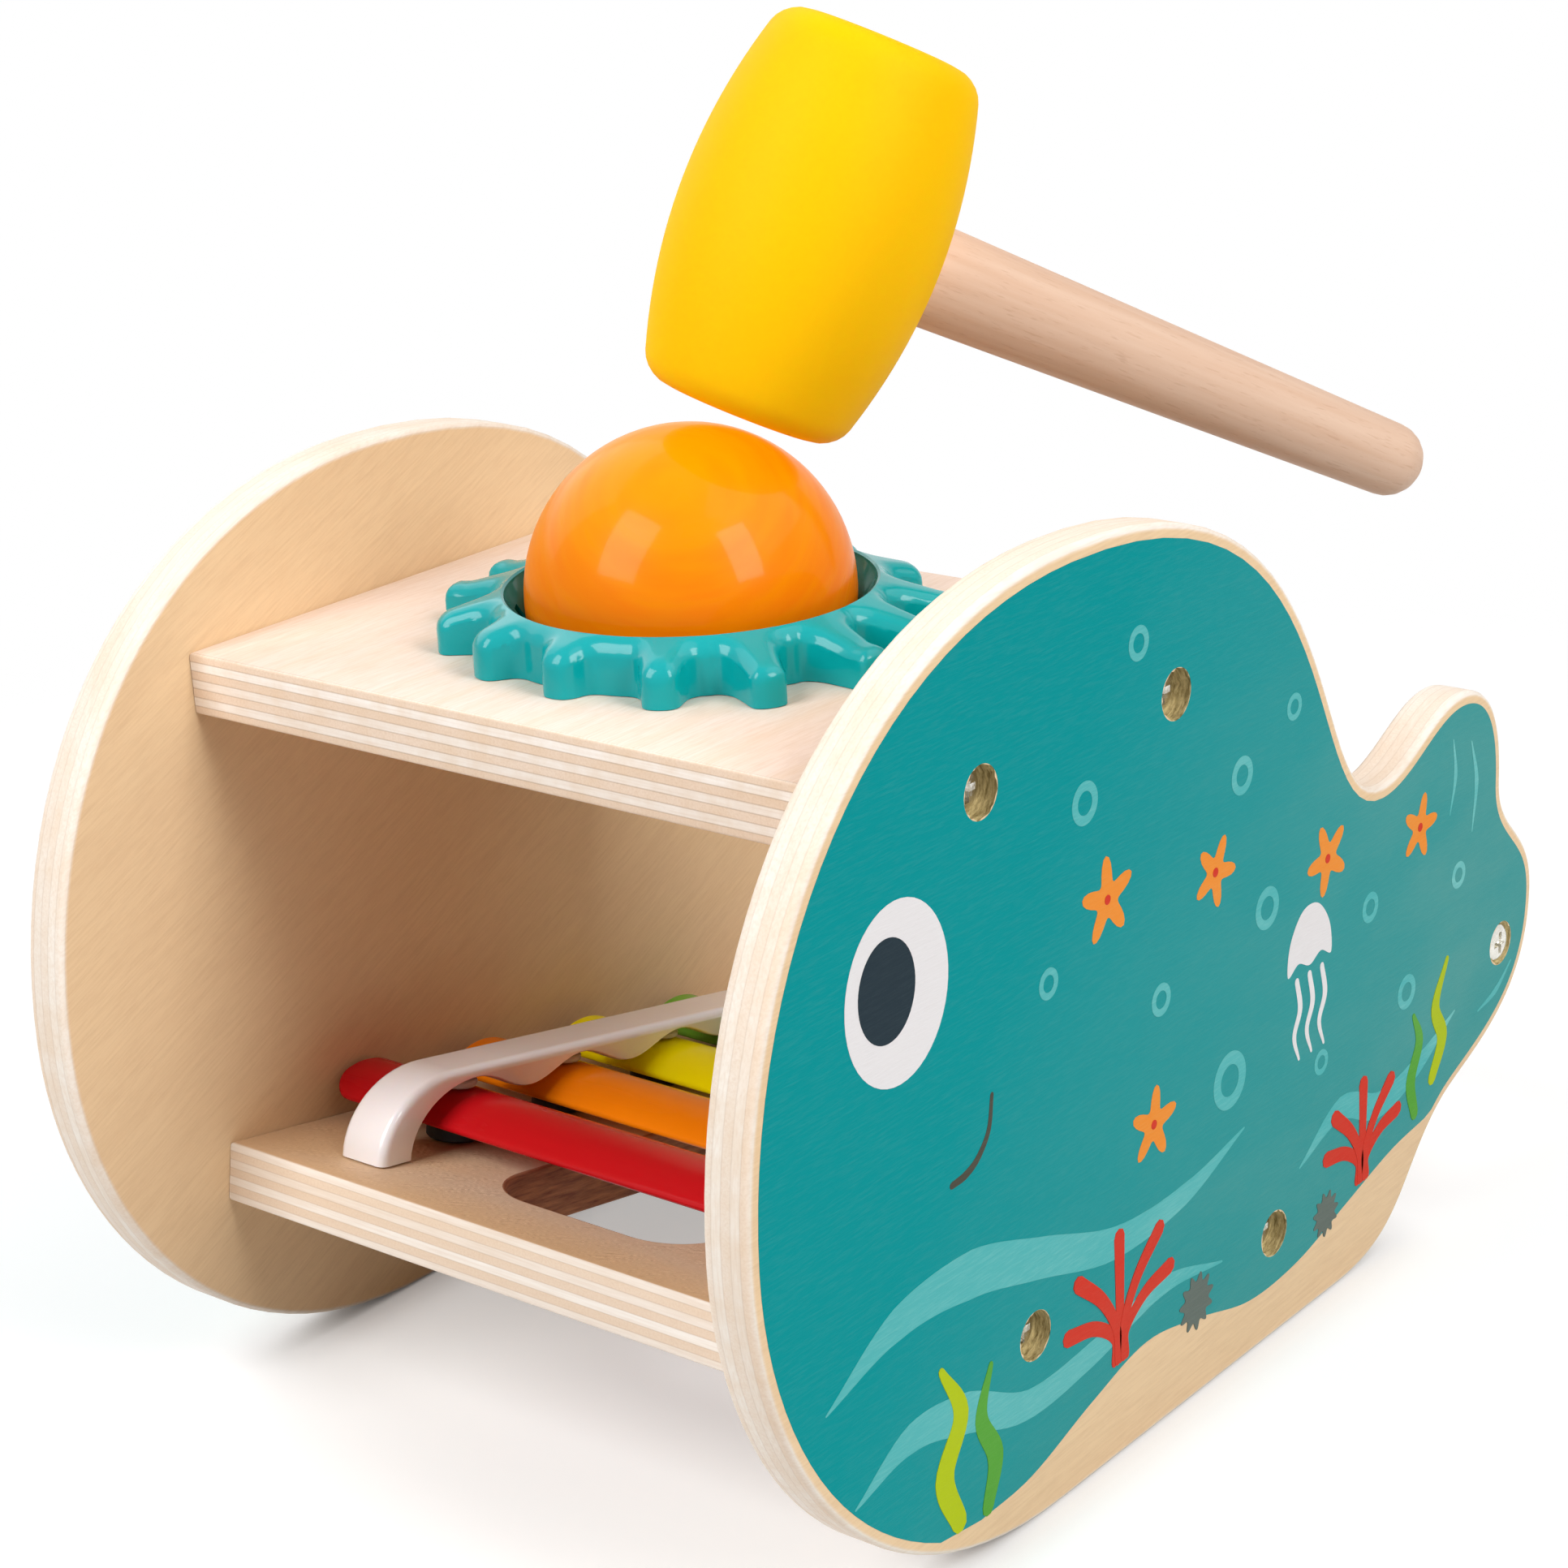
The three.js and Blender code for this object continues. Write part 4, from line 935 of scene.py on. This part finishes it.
# The pins come duller from their mould, and are too small to show a ripple
pin_abs = smooth_finish("grey ABS", {"IOR": 1.53}, ("#cfcac8", "#bdb8b6"), [3], (0.35, 0.5), 1, 0.0)

# Moulded rubber is dull and nearly black, with a dusty bloom
rubber, tree, place = begin("black rubber")
dust = mottle(tree, place, 0.8, detail=4.0)
bloom = add(tree, "MapRange", dust, 0.5, 0.8)
dress(tree, {
    "Base Color": add(tree, "Mix", bloom, "#141416", "#2c2c2e", data_type="RGBA"), "IOR": 1.52,
    "Roughness": add(tree, "MapRange", dust, 0.3, 0.7, 0.6, 0.8),
    "Normal": add(tree, "Bump", {"Height": dust, "Distance": 0.03 * MM}),
})

# Sprayed lacquer hides the steel: a strong colour with a clear shine
BAR_COLOURS = {"red": ("#d0161d", "#c01019"), "orange": ("#fa8808", "#ee7c04"),
               "yellow": ("#fff200", "#fbe600"), "green": ("#74b03a", "#68a530")}
SPRAYED = {"IOR": 1.5, "Specular IOR Level": 0.08, "Coat Weight": 0.13, "Coat Roughness": 0.05}
bar_paint = {}
for colour, tones in BAR_COLOURS.items():
    bar_paint[colour] = smooth_finish(
        f"{colour} lacquer on steel", SPRAYED, tones, (30, 4, 4), (0.2, 0.3), 1.2, 0.015)

# %% Side view of a rail
FIRST_BAR, BAR_PITCH = 27.0, 23.4
LAST_BAR = FIRST_BAR + 3 * BAR_PITCH
RAIL_FRONT, RAIL_BACK = 7.1, 117.1
RAIL_ARCH, RAIL_HEIGHT = 10.22, 12.22
RAIL_SPAN, SHOULDER, ARC_STEPS = 13.6, 15.0, 14
LOBE, LOBE_STEPS = 3.4, 20


def quarter_arc(y, half_y, half_z, first_deg, last_deg):
    turns = [math.radians(first_deg + (last_deg - first_deg) * i / ARC_STEPS) for i in range(ARC_STEPS + 1)]
    return [Vector((y + half_y * math.cos(t), half_z * math.sin(t))) for t in turns]


rail_loop = quarter_arc(RAIL_FRONT + SHOULDER, SHOULDER, RAIL_HEIGHT, 180, 90)
rail_loop += quarter_arc(RAIL_BACK - SHOULDER, SHOULDER, RAIL_HEIGHT, 90, 0)
outer_count = len(rail_loop)
rail_loop += quarter_arc(LAST_BAR, RAIL_SPAN, RAIL_ARCH, 0, 90)
for i in range(1, 3 * LOBE_STEPS):
    drop = LOBE * (1 - math.cos(2 * math.pi * i / LOBE_STEPS)) / 2
    rail_loop.append(Vector((LAST_BAR - BAR_PITCH * i / LOBE_STEPS, RAIL_ARCH - drop)))
rail_loop += quarter_arc(FIRST_BAR, RAIL_SPAN, RAIL_ARCH, 90, 180)
print("rail outline points:", len(rail_loop))

# %% Rails
RAIL_X, RAIL_WIDTH = 37.3, 8.9
RAIL_LIFT, RAIL_TAPER = 0.3, 0.0016
RAIL_ROUND, ARCH_ROUND = 1.4, 0.45
inward = [q - p for p, q in zip(rail_loop, inset(rail_loop, 1.0))]
rounding = [1.0] * outer_count + [ARCH_ROUND / RAIL_ROUND] * (len(rail_loop) - outer_count)


def height_share(y):
    """The xylophone gets lower towards the tail."""
    return 1 - RAIL_TAPER * (y - RAIL_FRONT)


for side, out in reversed(SIDES.items()):
    skin = Skin()
    rings = []
    low, high = out * RAIL_X - RAIL_WIDTH / 2, out * RAIL_X + RAIL_WIDTH / 2
    for across, move in rounded(low, high, RAIL_ROUND, 7):
        loop = [p + way * move * part for p, way, part in zip(rail_loop, inward, rounding)]
        # The foot stays flat on the board
        flat = [Vector((p.x, 0)) if q.y < 0.01 else p for p, q in zip(loop, rail_loop)]
        rings.append(skin.ring((across, p.x, p.y * height_share(p.x) + RAIL_LIFT) for p in flat))
    skin.block(rings)
    piece(f"xylophone_rail_{side}", skin, "bench", [rail_abs], [f"rail_{side}"], lower_place)

# %% Bars
BAR_CHORD, BAR_RISE, BAR_SHEET, BAR_CREST = 17.0, 3.5, 1.2, 8.2
BAR_RADIUS = BAR_CHORD**2 / (8 * BAR_RISE) + BAR_RISE / 2
BAR_CORNER = 4.0
BAR_LENGTHS = (112.0, 106.6, 105.0, 104.6)


def sheet_loop(half_width):
    """The arched sheet's section, with round edges."""
    thin = BAR_SHEET / 2
    middle = BAR_RADIUS - thin
    reach = math.asin(half_width / BAR_RADIUS) - thin / BAR_RADIUS
    loop = []
    for side in (1, -1):
        arc = [side * reach * (2 * k / 24 - 1) for k in range(25)]
        loop += [Vector((math.sin(t), math.cos(t))) * (middle + side * thin) for t in arc]
        end = Vector((math.sin(side * reach), math.cos(side * reach)))
        along = Vector((end.y, -end.x)) * side
        for turn in (0.52, 1.05, 1.57, 2.09, 2.62):
            loop.append(end * (middle + side * thin * math.cos(turn)) + along * thin * math.sin(turn))
    return loop


for i, colour in enumerate(BAR_COLOURS):
    y = FIRST_BAR + i * BAR_PITCH
    half = BAR_LENGTHS[i] / 2
    height = BAR_CREST * height_share(y) - BAR_RADIUS
    turns = [math.pi / 2 * k / 8 for k in range(9)]
    end = [(half - BAR_CORNER * (1 - math.sin(t)), BAR_CORNER * (1 - math.cos(t))) for t in turns]
    skin = Skin()
    rings = []
    for across, narrower in [(-x, n) for x, n in reversed(end)] + end:
        loop = sheet_loop(BAR_CHORD / 2 - narrower)
        rings.append(skin.ring((across, y + p.x, height + p.y) for p in loop))
    skin.block(rings)
    piece(f"tone_bar_{colour}", skin, "bench", [bar_paint[colour]], [f"bar_{colour}"], lower_place)

# %% Pins and pads
FOOT_GAP = 0.3
PIN, PIN_TOP = 1.3, 11.3
COLLAR, COLLAR_TOP, COLLAR_LIP, COLLAR_EASE = 3.0, 9.7, 0.3, 0.25
PAD, PAD_HOLE, PAD_UNDER_BAR = 4.3, 1.6, 1.25
PAD_FOOT_EASE, PAD_TOP_EASE = 0.3, 0.4
for side, out in reversed(SIDES.items()):
    for i, colour in enumerate(BAR_COLOURS):
        y = FIRST_BAR + i * BAR_PITCH
        share = height_share(y)
        spot = lower_place @ Matrix.Translation(Vector((out * RAIL_X, y, 0)) * MM)
        low, high, top = BAR_CREST * share + FOOT_GAP, COLLAR_TOP * share, PIN_TOP * share
        skin = Skin()
        turned(skin, [
            (PIN, FOOT_GAP), (PIN, low), (COLLAR - COLLAR_LIP, low), (COLLAR, low + COLLAR_EASE),
            (COLLAR, high - COLLAR_EASE), (COLLAR - COLLAR_LIP, high), (PIN, high), (PIN, top)], 32)
        piece(f"pin_{colour}_{side}_abs", skin, "bench", [pin_abs], [f"pin_{colour}_{side}"], spot)
        top = BAR_CREST * share - BAR_SHEET - PAD_UNDER_BAR
        profile = [(PAD_HOLE, FOOT_GAP), (PAD - PAD_FOOT_EASE, FOOT_GAP), (PAD, FOOT_GAP + PAD_FOOT_EASE),
                   (PAD, top - PAD_TOP_EASE), (PAD - PAD_TOP_EASE, top), (PAD_HOLE, top)]
        skin = Skin()
        rings = [skin.level(circle(radius, 32), height) for radius, height in profile]
        skin.walls(rings + rings[:1])
        piece(f"pad_{colour}_{side}_rubber", skin, "bench", [rubber], [f"pad_{colour}_{side}"], spot)

# %% Rail screws, from below
SCREW_BACK = {"front": 11.1, "back": 113.1}
RAIL_SCREW_RADIUS, RAIL_SCREW_SHANK, RAIL_SCREW_LENGTH = 2.5, 1.2, 14.0
down = lower_place.to_3x3() @ Vector((0, 0, -1))
for side in reversed(SIDES):
    for end, y in SCREW_BACK.items():
        node = f"rail_screw_{side}_{end}"
        low, high = solid_box(node)
        x = (low.x + high.x) / 2 - MIDDLE_X
        head = lower_place @ (Vector((x, y, -BOARD_THICKNESS)) * MM) / MM
        screw(f"{node}_steel", head, down, [node], RAIL_SCREW_RADIUS, RAIL_SCREW_SHANK, RAIL_SCREW_LENGTH, cone=False)

# %% [markdown]
# ## Beech
# The mallet's handle and the rod between the tails are steamed beech: pinkish, with short dark
# flecks along the grain. Each piece is turned about its own axis, so the grain follows that axis.

# %% Steamed beech
def beech(name, turn):
    """Grain along the Z axis of the turned frame."""
    material, tree, place = begin(name)
    flecks = mottle(tree, place, 0.35, 0.35, 2.6, turn=turn, detail=1.0)
    streaks = mottle(tree, place, 1.6, 1.6, 45, turn=turn, detail=4.0)
    base = add(tree, "Mix", add(tree, "MapRange", streaks, 0.3, 0.7), "#dbbba3", "#d1ab90", data_type="RGBA")
    dark = add(tree, "MapRange", flecks, 0.6, 0.75, 0.0, 0.35)
    dress(tree, {
        "Base Color": add(tree, "Mix", dark, base, "#b98d72", data_type="RGBA"),
        "Roughness": 0.5, "IOR": 1.5, "Specular IOR Level": 0.3,
        "Normal": add(tree, "Bump", {"Height": streaks, "Distance": 0.05 * MM}),
    })
    return material


# %% Rod between the tails
ROD_RADIUS, ROD_EASE = 7.0, 0.6
rod_beech = beech("steamed beech, rod", (0, 0, 0))
rod_low, rod_high = solid_box("tail_rod")
half = (rod_high.x - rod_low.x) / 2
skin = Skin()
turned(skin, [(ROD_RADIUS - ROD_EASE, -half), (ROD_RADIUS, ROD_EASE - half),
              (ROD_RADIUS, half - ROD_EASE), (ROD_RADIUS - ROD_EASE, half)], 64)
rod_place = Matrix.Translation((rod_low + rod_high) / 2 * MM) @ Matrix.Rotation(math.pi / 2, 4, "Y")
piece("tail_rod_beech", skin, "bench", [rod_beech], ["tail_rod"], rod_place)

# %% [markdown]
# ## Mallet
# The head is moulded in soft matte plastic with a fine grained skin, fat in the middle. The handle is
# pressed into it. Both are lathe shapes in the mallet's own frame: the head stands on its striking
# face, and the handle runs out from its middle. The frame is set by two turns, over the ball.

# %% Matte yellow plastic
mallet_plastic, tree, place = begin("matte yellow plastic")
fine_skin = mottle(tree, place, 0.5, detail=2.0)
dress(tree, {
    "Base Color": add(tree, "Mix", mottle(tree, place, 20), "#ffc400", "#fdc000", data_type="RGBA"),
    "Roughness": 0.6, "Specular IOR Level": 0.08, "Subsurface Weight": 0.25, "Subsurface Scale": 0.004,
    "Normal": add(tree, "Bump", {"Height": fine_skin, "Distance": 0.02 * MM}),
})

# %% Where the mallet is held
HEADING, SWING = math.radians(58.7), math.radians(25.9)
OFF_CENTRE, OVER_BALL = -2.9, 2.1
mallet_turn = Matrix.Rotation(HEADING, 3, "Z") @ Matrix.Rotation(SWING, 3, "Y")
strike = ball_middle + mallet_turn @ Vector((OFF_CENTRE, 0, BALL_RADIUS + OVER_BALL))
mallet_place = Matrix.Translation(strike * MM) @ mallet_turn.to_4x4()
print("mallet strikes at", [round(n, 1) for n in strike])

# %% The head
HEAD_LENGTH, END_DIAMETER, BELLY_DIAMETER = 52.5, 28.0, 37.1
HEAD_EDGE, HEAD_TRIM = 3.2, 0.16


def head_radius(height):
    """A little less than the solid's radius, so that the round side stays inside its flat faces."""
    from_middle = 2 * height / HEAD_LENGTH - 1
    return (BELLY_DIAMETER - (BELLY_DIAMETER - END_DIAMETER) * from_middle**2) / 2 - HEAD_TRIM


profile = [(0, 0)]
for t in (math.pi / 2, 1.2, 0.9, 0.6, 0.3, 0):
    low = HEAD_EDGE * (1 - math.sin(t))
    profile.append((head_radius(low) - HEAD_EDGE * (1 - math.cos(t)), low))
rim = [(radius, HEAD_LENGTH - height) for radius, height in reversed(profile)]
for i in range(1, 24):
    height = HEAD_EDGE + (HEAD_LENGTH - 2 * HEAD_EDGE) * i / 24
    profile.append((head_radius(height), height))
skin = Skin()
turned(skin, profile + rim, 96)
mallet = piece("mallet_head_plastic", skin, "mallet", [mallet_plastic], ["mallet_head"],
               mallet_place, own_axes=False)

# %% Socket and handle
HANDLE_ROOT, HANDLE_END, HANDLE_LENGTH = 14.2, 10.8, 85.5
SOCKET, SOCKET_ROOM, SOCKET_MOUTH = 23.0, 0.1, 10.0
HANDLE_TRIM = 0.1
surface = BELLY_DIAMETER / 2
middle = Matrix.Translation(Vector((0, 0, HEAD_LENGTH / 2)) * MM)
handle_place = mallet_place @ middle @ Matrix.Rotation(math.pi / 2, 4, "Y")
wide = HANDLE_ROOT / 2 + SOCKET_ROOM
socket = Skin()
turned(socket, [(wide, surface - SOCKET - 2 * SOCKET_ROOM), (wide, surface + SOCKET_MOUTH)], 64)
carve(mallet, socket, handle_place)
handle_beech = beech("steamed beech, handle", handle_place.to_euler())
end = HANDLE_END / 2
tip = surface + HANDLE_LENGTH - HANDLE_TRIM
dome = [(end * math.cos(t), tip - end * (1 - math.sin(t))) for t in (0, 0.26, 0.52, 0.79, 1.05, 1.31)]
skin = Skin()
turned(skin, [(HANDLE_ROOT / 2, surface - SOCKET), (HANDLE_ROOT / 2, surface), *dome, (0, tip)], 64)
handle = piece("mallet_handle_beech", skin, "mallet", [handle_beech], ["mallet_handle"],
               handle_place, own_axes=False)
# The mallet is lit on its own in the picture: the bench under it shows no shadow of it
for part in (mallet, handle):
    part.visible_shadow = False

# %% [markdown]
# ## Floor, light and camera
# The picture is a plain product shot on white. The floor keeps the toy's soft shadow, and rays from
# the camera find it a little brighter, so that it meets the white world with no horizon. Two large
# softboxes give the two window shapes on the ball. Wide ones overhead and on the left fill the rest.

# %% White paper floor
FLOOR_RADIUS, FLOOR_DROP, FLOOR_POINTS = 0.5, 0.0001, 96
FADE_START, FADE_END = 0.17, 0.38
CONTACT = 0.01


def white_rays(tree):
    """One for a ray from the camera, off a shiny surface or through a clear one: these see white."""
    ray = add(tree, "LightPath")
    shiny = add(tree, "Math", ray.outputs["Is Glossy Ray"], ray.outputs["Is Transmission Ray"], operation="MAXIMUM")
    return add(tree, "Math", ray.outputs["Is Camera Ray"], shiny, operation="MAXIMUM")


mesh = bpy.data.meshes.new("floor")
mesh.from_pydata([(*p, 0) for p in circle(FLOOR_RADIUS, FLOOR_POINTS)], [], [range(FLOOR_POINTS)])
floor = put("floor", mesh)
floor.location.z = -FLOOR_DROP

paper, tree, place = begin("white paper")
seen = white_rays(tree)
from_middle = add(tree, "VectorMath", place, operation="LENGTH").outputs["Value"]
fade = add(tree, "Math", add(tree, "MapRange", from_middle, FADE_START, FADE_END), seen, operation="MULTIPLY")
# The glow dims in the last centimetre before the toy, a painted shadow where floor and toy meet, or it
# would wash out the line where they meet
painted_floor_shadow = add(tree, "AmbientOcclusion", {"Distance": CONTACT}, samples=8).outputs["AO"]
lift = add(tree, "MapRange", painted_floor_shadow, 0.1, 0.95, 0.04, 0.42)
glow = add(tree, "Emission", "#ffffff", add(tree, "Math", seen, lift, operation="MULTIPLY"))
lit = add(tree, "AddShader", add(tree, "BsdfDiffuse", "#d9d9d9"), glow)
# From below the floor is clear, so that the underside can be looked at
below = add(tree, "NewGeometry").outputs["Backfacing"]
clear = add(tree, "Math", fade, below, operation="MAXIMUM")
add(tree, "OutputMaterial", add(tree, "MixShader", clear, lit, add(tree, "BsdfTransparent")))
mesh.materials.append(paper)

# %% White surroundings
WORLD_LIGHT, WORLD_SEEN = 0.03, 1.0
world = bpy.data.worlds.new("studio")
bpy.context.scene.world = world
world.use_nodes = True
tree = world.node_tree
tree.nodes.clear()
strength = add(tree, "MapRange", white_rays(tree), 0, 1, WORLD_LIGHT, WORLD_SEEN)
add(tree, "OutputWorld", add(tree, "Background", "#ffffff", strength))
print("world nodes:", len(tree.nodes))

# %% Softboxes
LIGHT_AIM = Vector((0, 0, 0.07))
# Direction, distance, width and height in metres, and power in watts
SOFTBOXES = {
    "front": ((-0.2, -0.75, 0.66), 1.0, 0.5, 0.7, 8.1),
    "right": ((0.78, -0.1, 0.58), 1.0, 0.35, 0.6, 6.5),
    "above": ((0.5, 0.4, 0.9), 1.1, 1.0, 1.0, 4.2),
    "left": ((-0.8, 0.1, 0.55), 1.1, 1.0, 1.0, 3.8),
}
for name, (direction, distance, width, height, power) in SOFTBOXES.items():
    lamp = bpy.data.lights.new(f"softbox {name}", "AREA")
    lamp.shape = "RECTANGLE"
    lamp.size, lamp.size_y = width, height
    lamp.energy = power
    box = put(f"softbox {name}", lamp)
    toward = Vector(direction).normalized()
    box.location = LIGHT_AIM + toward * distance
    box.rotation_euler = toward.to_track_quat("Z", "Y").to_euler()
    print(box.name, power, "W")

# %% Camera
LENS, SENSOR = 77.955, 36.0
FRAME_PIXELS = 1932
MIDDLE_PIXEL = (965.7, 1185.1)
CAMERA_PLACE = bench(293.837, -301.84, 248.72)
right = Vector((0.7854, 0.6173, -0.0463))
up = Vector((-0.2009, 0.3249, 0.9242))
lens = bpy.data.cameras.new("camera")
lens.lens = LENS
lens.sensor_width = SENSOR
lens.sensor_fit = "HORIZONTAL"
lens.shift_x = (FRAME_PIXELS / 2 - MIDDLE_PIXEL[0]) / FRAME_PIXELS
lens.shift_y = (MIDDLE_PIXEL[1] - FRAME_PIXELS / 2) / FRAME_PIXELS
lens.clip_start = 0.01
camera = put("camera", lens)
turn = Matrix((right, up, right.cross(up))).transposed().to_4x4()
camera.matrix_world = Matrix.Translation(CAMERA_PLACE * MM) @ turn
bpy.context.scene.camera = camera
bpy.context.scene.view_settings.view_transform = "Standard"
print("camera shift:", round(lens.shift_x, 4), round(lens.shift_y, 4))
